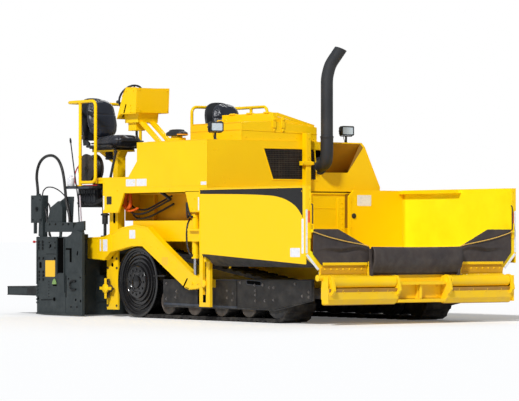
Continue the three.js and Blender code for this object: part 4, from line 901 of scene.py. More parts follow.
def cover_pieces():
    """Engine cover and hatch: folded lip, hinge knuckles and pin, pulls, prop lugs, rain gutter."""
    lid = Piece("hatch_fittings", YELLOW, "hatch_body")
    for x in (-780, -420, -60):
        lid.add(tube([(x, -352, 2556), (x + 110, -352, 2556)], 11, 14))
        lid.add(prism("front", [(-350, 2548), (-350, 2558), (-282, 2558), (-282, 2553)], x, x + 110))
    lid.add(tube(bent([(-640, 292, 2412), (-640, 330, 2420), (-440, 330, 2420), (-440, 292, 2412)], 14), 7, 10))
    lid.add(prisms("front", ([(-283, 2552), (300, 2406), (300, 2413), (-283, 2559)], -951, -944),
                   ([(-283, 2502), (300, 2402), (300, 2411), (-283, 2556)], 114, 121)))
    lid.done(bevel=2)
    iron = Piece("hatch_bolts", YELLOW, "hatch_body")
    for x in (-780, -420, -60):
        iron.add(bolts([(x + 30, -305, 2558), (x + 80, -305, 2558)], UP, 7))
    iron.done()
    cover = Piece("cover_fittings", YELLOW)
    cover.add(prism("front", [(-862, 2322), (302, 2290), (302, 2298), (-862, 2330)], 170, 175))
    cover.add(slab("side", -898, 168, 2326, 2333, -866, -860))
    cover.add(tube([(-898, -862, 2420), (168, -862, 2420)], 5, 8), tube([(171, -862, 2204), (171, -862, 2420)],
              5, 8))
    for y in (-395, -260):
        cover.add(prism("front", [(y, 2360), (y + 50, 2360), (y + 50, 2470), (y + 34, 2500), (y + 16, 2500),
                                  (y, 2470)], 171, 186))
        cover.add(lathe([(17, 0), (17, 5), (9, 6), (9, 14), (0, 15)], (186, y + 25, 2465), AHEAD, 16))
        cover.add(lathe([(20, 0), (20, 5), (11, 6), (11, 12), (0, 13)], (176, y + 25, 2330), AHEAD, 16))
    cover.add(block(-905, 175, -868, 306, 2201, 2210))
    cover.add(tube(bent([(-700, -600, 2436), (-700, -600, 2470), (-500, -600, 2470), (-500, -600, 2436)], 14),
                   7, 10))
    cover.done(bevel=2)
    heads = Piece("cover_bolts", YELLOW)
    heads.add(bolts(row((150, -860, 2260), (-850, -860, 2260), 6), RIGHT, 7))
    heads.add(bolts(row((170, -800, 2240), (170, 240, 2240), 5), AHEAD, 7))
    heads.done()


def exhaust_pieces():
    """Stack as one lathed tube along its route: joint band, swelled elbow, and a mouth rolled back inside."""
    route = bent([(62, 326, 1900), (230, 326, 1902), (335, 315, 1930), (360, 310, 2060), (360, 310, 2500),
                  (360, 310, 2990), (392, 336, 3150), (500, 420, 3345)], 62, 9)
    gone = np.concatenate([[0], np.cumsum(np.linalg.norm(np.diff(route, axis=0), axis=1))])
    joint = np.interp(2255, route[:, 2], gone)
    at = np.unique(np.concatenate([np.linspace(0, gone[-1], 90), joint + np.array([-14, -8, -4, 0, 6])]))
    spots = np.stack([np.interp(at, gone, route[:, c]) for c in range(3)], 1)
    girth = np.where(at < joint, 79.5, 76.0) + 5 * np.exp(-((at - joint + 6) / 7) ** 2)
    points, faces = tube(spots, girth, 40, caps=False)
    rings = points.reshape(-1, 40, 3)
    slant = unit(spots[-1] - spots[-2])
    level = rings[-1].mean(0)
    mouth = rings[-1] - slant * ((rings[-1] - level) @ [0.0, 0.25, 0.7])[:, None]
    inner = level + (mouth - level) * 0.91
    deep = rings[-7].mean(0) + (rings[-7] - rings[-7].mean(0)) * 0.90
    deeper = rings[-16].mean(0) + (rings[-16] - rings[-16].mean(0)) * 0.88
    rings = np.concatenate([rings[:-1], [mouth, inner, deep, deeper]])
    pipe = make("exhaust_stack", STACK, loft(rings), smooth=50)
    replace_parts(pipe, "exhaust_pipe")
    band = Piece("exhaust_clamps", STACK)
    band.add(lathe([(78, 0), (84, 2), (84, 20), (78, 22)], (360, 310, 2246), UP, 40))
    band.add(block(352, 372, 222, 238, 2244, 2270), tube([(340, 230, 2257), (384, 230, 2257)], 5, 8))
    band.add(lathe([(76, 0), (110, 2), (110, 12), (84, 16), (80, 22)], (190, 326, 1901), AHEAD, 40))
    band.add(bolts(ring_of((202, 326, 1901), AHEAD, 97, 6), AHEAD, 8))
    band.add(prism("front", [(258, 1900), (300, 1960), (300, 2090), (240, 2090), (240, 1900)], 66, 74))
    band.done()
    # near-black sheet at the back of the pocket behind the stack: painted shade
    make("exhaust_well_painted_shade", PAINTED_GAP_SHADE, block(61, 63, 230, 478, 1822, 2098))


def lamp_pieces():
    """Work lamps: finned housing, bezel, faceted lens, yoke and stem; and the low dome lamp on its block."""
    for name, x, y in (("right", 110, -1215), ("left", 20, 880)):
        case = Piece(f"work_lamp_case_{name}", LAMP)
        shell = [np.array([(x + depth, y + a * w, 2355 + b * h) for a, b in
                           ((c / 95, d / 60) for c, d in rounded(-95, 95, -60, 60, 16))])
                 for depth, w, h in ((-58, 60, 38), (-52, 74, 46), (-10, 92, 58), (36, 95, 60), (46, 95, 60),
                                     (46, 84, 49), (38, 80, 45))]
        case.add(loft(shell))
        for k in range(6):
            case.add(prism("top", [(x - 52, y - 74 + k * 28), (x - 8, y - 80 + k * 30),
                                   (x - 8, y - 75 + k * 30), (x - 52, y - 69 + k * 28)], 2312, 2398))
        case.add(tube(bent([(x, y - 100, 2350), (x, y - 100, 2288), (x, y + 100, 2288), (x, y + 100, 2350)],
                           24), 7, 10))
        case.add(lathe([(26, 0), (26, 8), (14, 14), (14, 80), (20, 88)], (x, y, 2200), UP, 20))
        case.add(tube(spline([(x - 40, y + 20, 2330), (x - 80, y + 24, 2290), (x - 70, y + 30, 2230),
                              (x - 60, y + 34, 2202)], 16), 4, 8))
        case.add(bolts([(x, y - 108, 2350)], RIGHT, 8), bolts([(x, y + 108, 2350)], OUT, 8))
        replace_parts(case.done(), f"work_lamp_{name}")
        make(f"work_lamp_lens_{name}", LENS, prism("front", [(y + a, 2355 + b) for a,
                                                             b in rounded(-80, 80, -45, 45, 12)], x + 36,
                                                   x + 41))
    dome = Piece("dome_lamp", LAMP)
    swell = np.array(rounded(-170, 170, -78, 78, 60, 8))
    dome.add(loft([np.column_stack([-770 + swell[:, 0] * s, -1170 + swell[:, 1] * s, np.full(len(swell), z)])
                   for s, z in ((0.8, 2268), (0.98, 2274), (1.0, 2292), (0.95, 2312), (0.72, 2330),
                                (0.66, 2344), (0.4, 2352))]))
    dome.done()
    base = Piece("dome_lamp_base", YELLOW)
    base.add(blocks((-880, -650, -1225, -1115, 2200.5, 2246), (-840, -700, -1210, -1130, 2246, 2268)))
    base.done(bevel=4)
    cap = Piece("dome_lamp_cap", AMBER)
    nose = swell[swell[:, 0] > 100]
    cap.add(loft([np.column_stack([-770 + nose[:, 0] * s, -1170 + nose[:, 1] * s, np.full(len(nose), z)]) for s,
                  z in ((1.012, 2276), (1.018, 2284), (1.012, 2291))]))
    cap.done()


# ---- operator's platform ----------------------------------------------------------------
def rail_pieces():
    """Guard rails: the tube route with rounded corners, its foot rod, flanges, bolts and a weld ring."""
    for side, leg, outer, last, foot in (("left", 530, 1290, True, 1760.5), ("right", 300, 1440, False, 1715)):
        rail = Piece(f"guard_rail_tube_{side}", YELLOW, left=side == "right")
        route = [(-2865, leg, 1671), (-2865, leg, 2755), (-2865, outer, 2755), (-2200, outer, 2755),
                 (-2200, outer, foot)]
        if not last:
            route.append((-2560, outer, foot))
        rail.add(tube(bent(route, 88, 9), 21, 18))
        rail.add(tube([(-2560, outer, 1671), (-2560, outer, 2750)], 21, 18))
        for x, y in ((-2865, leg), (-2560, outer)):
            rail.add(prism("top", rounded(x - 48, x + 48, y - 24, y + 24, 8), 1670.2, 1678))
            rail.add(bolts([(x - 36, y, 1678), (x + 36, y, 1678)], UP, 8))
        rail.add(weld(ring_of((-2560, outer, 2733), UP, 23, 24), 4))
        rail.add(lathe([(21, 0), (25, 2), (25, 26), (21, 28)], (-2865, leg, 2030), UP, 24))
        rail.add(lathe([(21, 0), (25, 2), (25, 26), (21, 28)], (-2560, outer, 2030), UP, 24))
        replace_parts(rail.done(smooth=50), f"guard_rail_{side}")


def console_pieces():
    """Control console: dials and switches toward the seat, end-plate slot and bolts, raised lid edge."""
    base = 2470
    shell = Piece("console_trim", YELLOW)
    ridge = [(-1860, 445), (-1620, 435), (-1620, 441), (-1860, 452), (-1958, 336), (-1950, 330)]
    for y0, y1 in ((-1203, -1196), (-704, -697)):
        shell.add(prism("side", [(x, base + z) for x, z in ridge], y0, y1))
    shell.add(prisms("side", ([(-1622, 2905), (-1614, 2905), (-1634, 2592), (-1642, 2592)], -1203, -697),
                     ([(-1640, 2590), (-1632, 2590), (-1636, 2578), (-1990, 2578), (-1990, 2590)], -1204,
                      -1192)))
    for y in (-1060, -900):
        shell.add(block(-1352, -1236, y - 60, y + 60, 2201, 2211))
        shell.add(prism("side", [(-1716, 2478), (-1668, 2478), (-1350, 2240), (-1392, 2240)], y - 28, y - 24))
    shell.done(bevel=2.5)
    iron = Piece("console_fasteners", YELLOW)
    iron.add(bolts([(x, -1203, z) for x, z in ((-1753, 2686), (-1753, 2644), (-1753, 2602), (-1850, 2870),
                                               (-1690, 2870))], RIGHT, 7))
    iron.add(bolts([(-1612, y, z) for y, z in ((-1160, 2880), (-740, 2880), (-1160, 2640), (-740, 2640))],
                   (1, 0, 0.06), 7))
    for y in (-1060, -900):
        iron.add(bolts([(-1335, y - 40, 2211), (-1335, y + 40, 2211), (-1255, y - 40, 2211),
                        (-1255, y + 40, 2211)], UP, 8))
    iron.done()
    # the end-plate slot is a near-black sheet: painted shade
    dark = Piece("console_slot", PAINTED_GAP_SHADE)
    dark.add(prism("side", slot_outline((-1896, 2620), 190, 24, 66), -1201.6, -1199.8))
    dark.done()
    a, b = np.array([-2080, 2520.0]), np.array([-1950, 2800.0])
    slope = (b - a) / np.linalg.norm(b - a)
    out = np.array([-slope[1], slope[0]])

    def on_face(y, up, lift=0.0):
        spot = a + slope * up + out * lift
        return (spot[0], y, spot[1])

    way = (out[0], 0, out[1])
    panel = Piece("console_panel", CHARCOAL)
    corners = [on_face(0, 30), on_face(0, 285), on_face(0, 285, 5), on_face(0, 30, 5)]
    panel.add(prism("side", [(c[0], c[2]) for c in corners], -1170, -730))
    for y, up in ((-1110, 215), (-1000, 215), (-890, 215), (-790, 215)):
        panel.add(lathe([(44, 5), (44, 13), (38, 15), (36, 9)], on_face(y, up), way, 28))
    for y in np.linspace(-1130, -770, 9):
        panel.add(lathe([(13, 5), (13, 12), (6, 14), (5, 34), (8, 38), (0, 40)], on_face(y, 120), way, 12))
    for y in (-1120, -1040, -960, -880, -800):
        panel.add(lathe([(19, 5), (19, 15), (15, 19), (0, 20)], on_face(y, 65), way, 16))
    panel.add(tube([on_face(-745, 150, 4), on_face(-740, 175, 120)], 7, 10))
    panel.add(lathe([(8, 0), (22, 12), (25, 28), (18, 44), (0, 50)], on_face(-740, 172, 110), way, 18))
    panel.add(tube(spline([(-1870, -1030, 2376), (-1865, -1030, 2300), (-1780, -1020, 2220),
                           (-1600, -1000, 2190), (-1420, -990, 2204)], 30), 16, 12))
    panel.done(bevel=0)
    make("console_dials", WHITE_LABEL, [lathe([(35, 8), (35, 9.5), (0, 9.6)], on_face(y, 215), way, 24)
                                        for y in (-1110, -1000, -890, -790)])
    make("console_buttons", RED, lathe([(14, 19), (14, 24), (0, 25)], on_face(-1120, 65), way, 16),
         lathe([(14, 19), (14, 24), (0, 25)], on_face(-960, 65), way, 16))


def wheel_piece():
    """Steering wheel: a ring whose section narrows at each finger grip, three dished spokes, a capped hub."""
    centre, tilt = np.array([-2100.0, -960, 2805]), 1.05
    axis = np.array([-math.sin(tilt), 0, math.cos(tilt)])
    a, b, n = basis(axis)
    turn = np.linspace(0, 2 * np.pi, 96, endpoint=False)
    rim = centre + 176 * (np.cos(turn)[:, None] * a + np.sin(turn)[:, None] * b)
    wheel = Piece("steering_wheel_skin", VINYL, "steering_body")
    wheel.add(tube(rim, 13.2 + 0.8 * np.cos(24 * turn), 14, closed=True, over=n))
    wheel.add(lathe([(0, -29), (30, -29), (32, -20), (32, 12), (46, 16), (46, 26), (34, 32), (0, 34)], centre,
                    n, 32))
    for k in range(3):
        way = math.cos(2.094 * k + 0.5) * a + math.sin(2.094 * k + 0.5) * b
        spots = centre + np.linspace(34, 168, 8)[:, None] * way + n * np.linspace(16, 0, 8)[:, None]
        wheel.add(tube(spots, np.linspace(12, 8, 8), 10))
    knob = centre + 176 * (math.cos(2.6) * a + math.sin(2.6) * b)
    wheel.add(lathe([(8, 10), (8, 26), (20, 34), (23, 48), (16, 60), (0, 64)], knob, n, 18))
    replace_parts(wheel.done(smooth=50), "steering_wheel")


def platform_pieces():
    """Deck mat, seat stands, steps, the slanting rod, straps, harness and the post's dark plate."""
    mat = Piece("deck_mat", RIBBED)
    mat.add(slab("top", -2282, -1362, -1360, 1360, 1760.3, 1766))
    mat.done(bevel=2)
    stands = Piece("seat_stands", CHARCOAL)
    for middle in (920, -1080):
        for y in (-150, 120):
            stands.add(block(-2600, -2070, middle + y, middle + y + 30, 2130.4, 2152))
        stands.add(block(-2590, -2090, middle - 200, middle + 200, 2152, 2166))
        stands.add(tube([(-2120, middle - 190, 2148), (-2040, middle - 190, 2140)], 7, 10))
        stands.add(lathe([(12, 0), (15, 10), (13, 26), (0, 30)], (-2044, middle - 190, 2140), (1, 0, -0.1), 14))
        bellows = [(96 + 16 * (k % 2), 12 * k) for k in range(11)]
        stands.add(lathe(bellows, (-2330, middle, 2010), UP, 28))
    stands.add(tube([(-2025, -1330, 1762), (-1990, -1313, 1920), (-1958, -1296, 2080)], 17, 12))
    stands.add(lathe([(10, 0), (24, 10), (24, 40), (10, 50)], (-1958, -1296, 2074), (0.1, 0, 1), 18))
    stands.done(bevel=0)
    plate = Piece("post_plate", CHARCOAL)
    plate.add(prism("side", rounded(-1998, -1888, 1430, 1530, 8), -1404, -1400), both=True)
    for k in range(3):
        plate.add(prism("side", rounded(-1984, -1902, 1446 + 26 * k, 1462 + 26 * k, 5), -1408, -1404),
                  both=True)
    plate.add(bolts([(-1990, -1404, 1522), (-1896, -1404, 1522), (-1990, -1404, 1438), (-1896, -1404, 1438)],
                    RIGHT, 4), both=True)
    plate.done(bevel=1.5)
    make("post_reflectors", REFLECT, prisms("side", (rounded(-2084, -2056, 1360, 1536, 6), -1401.4, -1400),
                                            (rounded(12, 36, 1340, 1500, 6), -1401.4, -1400),
                                            (rounded(-2084, -2056, 1340, 1500, 6), 1400, 1401.4)))
    step = Piece("platform_steps", YELLOW)
    step.add(slabs("side", (-2108, -2096, 1240, 1480, 1240, 1284), (-2106, -1935, 965, 977, 1270, 1286)),
             both=True)
    step.add(prism("side", slot_outline((-1993, 1262), 176, 76, 90), 1285, 1289), both=True)
    step.add(slab("side", -2088, -1745, 1322, 1330, 1392, 1406), both=True)
    step.add(slab("side", -1610, -262, 1567, 1574, 1370, 1406), left=True)
    step.add(prism("side", [(-1745, 1330), (-1614, 1560), (-1606, 1556), (-1737, 1326)], 1378, 1403), both=True)
    step.add(slab("side", -2288, -1360, 1740, 1772, 1378, 1384), both=True)
    step.done(bevel=2)
    # the post's slot is a near-black sheet: painted shade
    make("post_slot", PAINTED_GAP_SHADE, prism("side", slot_outline((-1993, 1262), 150, 50, 90), 1289, 1290), both=True)
    heads = Piece("platform_bolts", YELLOW)
    heads.add(side_bolts(((-2060, 1340), (-1960, 1340), (-1860, 1340), (-1780, 1340), (-2060, 1600),
                          (-1760, 1600), (-2060, 1700)), 1400, 8), both=True)
    heads.add(bolts([(-110, -1400, 1350), (-10, -1400, 1350), (-60, -1400, 1480)], RIGHT, 8))
    heads.add(bolts(row((-2080, 1286, 1500), (-2080, 1286, 1660), 3), OUT, 5), both=True)
    heads.done()
    # the bay walls under the deck are darker amber: painted shade
    bay = Piece("bay_lining", PAINTED_SHADE_AMBER)
    bay.add(slab("front", -1178, 1178, 1222, 1699, -1912, -1904))
    bay.add(slab("side", -1560, -520, 1552, 1562, 960, 1196), both=True)
    bay.add(prism("side", [(-1700, 1225), (-1560, 1225), (-1560, 1480), (-1600, 1520), (-1700, 1520)], 955,
                  975), both=True)
    bay.add(block(-1900, -250, 952, 960, 1222, 1560), both=True)
    bay.add(prism("side", [(-900, 1300), (-820, 1300), (-800, 1380), (-860, 1400), (-920, 1380)], 962, 990),
            both=True)
    bay.add(slab("side", -1540, -1500, 1240, 1550, 960, 1010), both=True)
    bay.done(bevel=3)
    hook = Piece("harness_conduit", HARNESS)
    hook.add(tube(spline([(-1790, -1240, 1560), (-1800, -1245, 1470), (-1760, -1250, 1390),
                          (-1700, -1250, 1400), (-1690, -1245, 1470), (-1710, -1240, 1560)], 40), 24, 12))
    hook.add(tube(spline([(-1850, -1250, 1420), (-1780, -1245, 1360), (-1650, -1240, 1350),
                          (-1540, -1235, 1380)], 30), 14, 10))
    hook.done()
    lines = Piece("bay_pipes", HOSE)
    lines.add(tube(spline([(-1890, -1250, 1500), (-1760, -1270, 1590), (-1500, -1290, 1662),
                           (-1200, -1290, 1640), (-950, -1280, 1570), (-760, -1270, 1480)], 60), 20, 12))
    for k, (y, z) in enumerate(((-1150, 1470), (-1180, 1420), (-1120, 1370))):
        lines.add(tube(spline([(-1880, y, z), (-1700, y - 20, z - 90 - 12 * k), (-1500, y, z - 110),
                               (-1250, y + 60, z - 20), (-1050, y + 100, z + 60)], 40), 12 + k, 10))
    lines.done()


hood_pieces()
grille_pieces()
cover_pieces()
exhaust_pieces()
lamp_pieces()
rail_pieces()
console_pieces()
wheel_piece()
platform_pieces()


# ---- tracks, guard plates, tow arms and augers ------------------------------------------


def drive_wheel_piece(side):
    """Drive wheel: a dished disc turned from a stepped profile of ribs, with bolts round its hub."""
    flip = dict(left=side == "right")
    face = [(397, 197), (441, 200.5), (446, 206), (446, 213), (436, 216), (406, 212), (398, 194), (384, 190),
            (378, 174), (354, 172), (346, 192), (338, 194), (330, 178), (306, 176), (299, 198), (290, 200),
            (282, 186), (258, 186), (250, 210), (240, 212), (232, 202), (210, 206), (204, 228), (196, 236),
            (130, 238), (122, 228), (84, 228), (78, 246), (58, 252), (0, 254)]
    back = [(0, -151), (78, -140), (190, -120), (212, -149), (333, -181), (384, -197), (397, -196)]
    wheel = Piece(f"drive_wheel_disc_{side}", GLOSS_BLACK, **flip)
    wheel.add(lathe(back + face, (-1500, 1050, 450), OUT, 96))
    for radius, count, size in ((158, 12, 13), (100, 6, 9), (368, 24, 6)):
        lift = {158: 1287, 100: 1278, 368: 1223}[radius]
        wheel.add(bolts(ring_of((-1500, lift, 450), OUT, radius, count), OUT, size))
    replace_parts(wheel.done(smooth=28), f"drive_wheel_{side}")


def belt_pieces(side):
    """Belt edge: moulded ribs across the tread on the lower run, and worn rings on the bogie wheels."""
    flip = dict(left=side == "right")
    edge = Piece(f"belt_ribs_{side}", TRACK, **flip)
    for x in np.arange(-1440, 1400, 92.0):
        edge.add(prisms("side", ([(x, 2), (x + 40, 2), (x + 34, 30), (x + 6, 30)], 1250, 1256), ([(x + 46, 34),
                 (x + 86, 34), (x + 82, 44), (x + 50, 44)], 1250, 1254)))
    edge.done(bevel=2)
    rings = Piece(f"bogie_rings_{side}", IRON, **flip)
    for x in (-830, -270, 290, 850):
        rings.add(lathe([(150, 0), (158, 0), (160, 4), (158, 8), (153, 8), (150, 5)], (x, 1242, 217), OUT, 48))
    rings.done()
    make(f"bogie_faces_{side}", TRACK, [lathe([(0, 0), (144, 0), (144, 3), (60, 4), (54, 12), (0, 13)],
                                              (x, 1243, 217), OUT, 40) for x in (-830, -270, 290, 850)], **flip)


def guard_plate_pieces(side):
    """Guard plates over the bogies: two laid-on plates, a long hole, bolts, wear strips and the upper bar."""
    flip = dict(left=side == "right")
    plates = Piece(f"guard_overlays_{side}", GUARD, **flip)
    plates.add(prisms("side", ([(-880, 205), (-150, 198), (-150, 488), (-880, 478)], 1284, 1290), ([(-96, 196),
               (655, 186), (655, 492), (-96, 486)], 1284, 1291), ([(676, 184), (1440, 168), (2138, 290),
               (2138, 514), (676, 500)], 1284, 1296), ([(-1112, 520), (-868, 524), (-868, 542), (-1112, 538)],
                                                       1262, 1292)))
    plates.done(bevel=2)
    # near-black sheets for the long hole and the joins between plates: painted shade
    hole = Piece(f"guard_hole_{side}", PAINTED_GAP_SHADE, **flip)
    hole.add(prisms("side", (slot_outline((1013, 472), 286, 44, -3), 1296, 1297), ([(655, 186), (676, 184),
             (676, 500), (655, 492)], 1284, 1285), ([(-150, 198), (-96, 196), (-96, 486), (-150, 488)], 1284,
                                                    1285)))
    hole.done()
    rim = Piece(f"guard_trim_{side}", WORN_STEEL, **flip)
    loop = np.array([(a, 1297, b) for a, b in slot_outline((1013, 472), 294, 52, -3, 10)])
    rim.add(tube(loop, 3.5, 8, closed=True, over=(0, 1, 0)))
    rim.add(prisms("side", ([(-880, 176), (655, 160), (655, 184), (-880, 204)], 1284, 1289), ([(180, 492),
            (655, 496), (655, 506), (180, 503)], 1284, 1289)))
    rim.done(bevel=1.5)
    heads = Piece(f"guard_bolts_{side}", BOLT_STEEL, **flip)
    spots = [(1028, 444), (1189, 446), (1319, 418), (1406, 419), (1043, 379), (1043, 327), (1043, 257),
             (1232, 261), (1406, 273), (2085, 378), (2085, 320), (740, 470), (1820, 470), (1960, 330)]
    heads.add(side_bolts(spots, 1296, 12))
    heads.add(side_bolts(((463, 370), (584, 337), (463, 282), (569, 257), (10, 300), (10, 420)), 1291, 11))
    heads.add(side_bolts(((-602, 344), (-618, 272), (-820, 440), (-820, 250)), 1290, 12))
    heads.done()


def tow_arm_pieces(side):
    """Tow arm: flange strips along its edges, blank labels, bolts, the nose joint and its yellow roller cap."""
    flip = dict(left=side == "right")
    body = "screed_body"
    top = [(-2485, 1004), (-2110, 1014), (-1690, 1134), (-1390, 1164), (-1134, 1134), (-842, 954), (-142, 554)]
    low = [(-2485, 746), (-2110, 726), (-1960, 826), (-1470, 906), (-1238, 906), (-298, 396), (-218, 377)]
    trim = Piece(f"tow_arm_flanges_{side}", YELLOW, body, **flip)
    for run, drop in ((top, -14), (low, 14)):
        trim.add(prism("side", run + [(x, z + drop) for x, z in run[::-1]], 1366, 1374))
    trim.add(prisms("side", ([(-300, 392), (-222, 376), (60, 405), (60, 515), (-145, 552), (-210, 560)], 1368,
                             1374), ([(-1960, 826), (-1946, 826), (-1946, 1060), (-1960, 1058)], 1368, 1375)))
    trim.add(lathe([(0, 0), (40, 0), (46, 6), (46, 18), (30, 24), (0, 25)], (180, 1426, 452), OUT, 32))
    trim.add(weld([(-1940, 1371, 836), (-1470, 1371, 916)], 5), weld([(-1230, 1371, 900), (-330, 1371, 412)],
             5))
    trim.done(bevel=2)
    heads = Piece(f"tow_arm_bolts_{side}", YELLOW, body, **flip)
    spots = [(-1880, 1032), (-1896, 939), (-1662, 1032), (-1662, 976), (-1645, 930), (-1233, 995), (-1217, 940),
             (-1054, 895), (-1070, 831), (-1400, 1120), (-1560, 960), (-2250, 960), (-2250, 800), (-2400, 960),
             (-2400, 800), (-900, 880), (-620, 700), (-500, 620)]
    heads.add(side_bolts(spots, 1370.2, 6.5))
    heads.add(bolts([(-140, 1374, 452), (-30, 1374, 452)], OUT, 13))
    heads.done()
    make(f"tow_arm_labels_{side}", WHITE_LABEL, prisms("side", (rounded(-2204, -2174, 836, 984, 4), 1370, 1371),
                                                       (rounded(-2133, -2031, 836, 984, 6), 1370, 1371),
                                                       (rounded(-1529, -1397, 996, 1104, 6), 1370, 1371)),
         body=body, **flip)
    make(f"tow_arm_marker_{side}", LABEL_YELLOW, prism("side", rounded(-806, -672, 664, 766, 6), 1370, 1371),
         body=body, **flip)
    # near-black strip at the nose joint: painted shade in the gap
    make(f"tow_arm_joint_{side}", PAINTED_GAP_SHADE, prism("side", [(-262, 510), (-240, 510), (-330, 392), (-352, 404)],
                                              1374, 1375.5), body=body, **flip)


def tow_guide_pieces(side):
    """Tow-point guide, cylinder glands and ports, and the hoses that feed them."""
    flip = dict(left=side == "right")
    # the guide's slots are near-black sheets: painted shade
    dark = Piece(f"tow_guide_slot_{side}", PAINTED_GAP_SHADE, **flip)
    dark.add(slabs("side", (150, 212, 225, 319, 1424, 1425), (150, 212, 771, 975, 1424, 1425)))
    dark.done()
    metal = Piece(f"tow_cylinder_fittings_{side}", YELLOW, **flip)
    metal.add(lathe([(38, 0), (49, 2), (49, 46), (42, 50)], (-140, 1330, 752), UP, 32))
    metal.add(lathe([(42, 0), (49, 2), (49, 34), (42, 38), (30, 40)], (-140, 1330, 1252), UP, 32))
    metal.add(prism("side", rounded(-178, -102, 1292, 1372, 30), 1306, 1354))
    metal.add(lathe([(16, 0), (16, 14), (0, 16)], (-140, 1354, 1336), OUT, 16))
    metal.add(slabs("side", (80, 286, 172, 196, 1384, 1430), (80, 286, 1090, 1114, 1384, 1430)))
    metal.add(bolts([(110, 1424, z) for z in (240, 420, 600, 780, 960)] + [(262, 1424, z)
              for z in (240, 600, 960)], OUT, 9))
    metal.done(bevel=2)
    lines = Piece(f"tow_pipes_{side}", HOSE, **flip)
    for k, z in enumerate((790, 1262)):
        path = [(-140, 1378, z), (-140, 1396, z + 4), (-180, 1404, z + 60), (-230, 1396, z + 170),
                (-260, 1360, 1180 + 70 * k), (-300, 1300, 1240 + 60 * k)]
        lines.add(tube(spline(path, 36), 11, 10), lathe([(16, 0), (16, 22), (12, 26)], (-140, 1370, z), OUT,
                                                        12))
    under = [(300, 1300, 800), (380, 1320, 740), (470, 1330, 700), (560, 1325, 690), (680, 1310, 700),
             (820, 1290, 742)]
    for shift in (0, 34):
        lines.add(tube(spline([(x, y - shift / 2, z + shift) for x, y, z in under], 40), 13, 10))
    lines.done()
    tee = Piece(f"line_tee_{side}", YELLOW, **flip)
    tee.add(block(560, 640, 1330, 1362, 672, 700), tube([(600, 1346, 640), (600, 1346, 740)], 13, 14))
    tee.done(bevel=3)


def auger_pieces(side):
    """Auger end cross and bearing, side-plate holes and bolts, and the lift cylinder's bands and pins."""
    flip = dict(left=side == "right")
    cross = Piece(f"auger_cross_{side}", YELLOW, f"auger_{side}_body", **flip)
    cross.add(slabs("side", (-2250, -1990, 340, 380, 1331, 1346), (-2140, -2100, 230, 490, 1331, 1346)))
    cross.add(lathe([(60, 0), (60, 22), (34, 26), (34, 34), (0, 36)], (-2120, 1331, 360), OUT, 32))
    cross.done(bevel=4)
    plate = Piece(f"auger_plate_bolts_{side}", IRON, **flip)
    plate.add(bolts([(-2190, 1256, z) for z in (140, 620, 740, 860)] + [(-1985, 1256, z)
              for z in (140, 620, 740, 860)], OUT, 12))
    plate.done()
    # the side-plate holes are near-black discs: painted shade
    make(f"auger_plate_holes_{side}", PAINTED_GAP_SHADE, [lathe([(0, 0), (26, 0), (26, 1.2), (0, 1.2)], (-2088, 1255, z),
                                                   OUT, 20) for z in (660, 760, 860)], **flip)
    lift = Piece(f"lift_cylinder_bands_{side}", CHARCOAL, **flip)
    for z in (1010, 1290, 1560):
        lift.add(lathe([(46, 0), (55, 2), (55, 22), (46, 24)], (-2290, 1235, z), UP, 32))
    lift.add(tube(spline([(-2290, 1290, 1585), (-2250, 1310, 1600), (-2200, 1300, 1640), (-2180, 1270, 1690)],
                         24), 11, 10))
    lift.done()


for track_side in ("left", "right"):
    drive_wheel_piece(track_side)
    belt_pieces(track_side)
    guard_plate_pieces(track_side)
    tow_arm_pieces(track_side)
    tow_guide_pieces(track_side)
    auger_pieces(track_side)


# ---- screed, end gates, jacks, shelf and reel -------------------------------------------


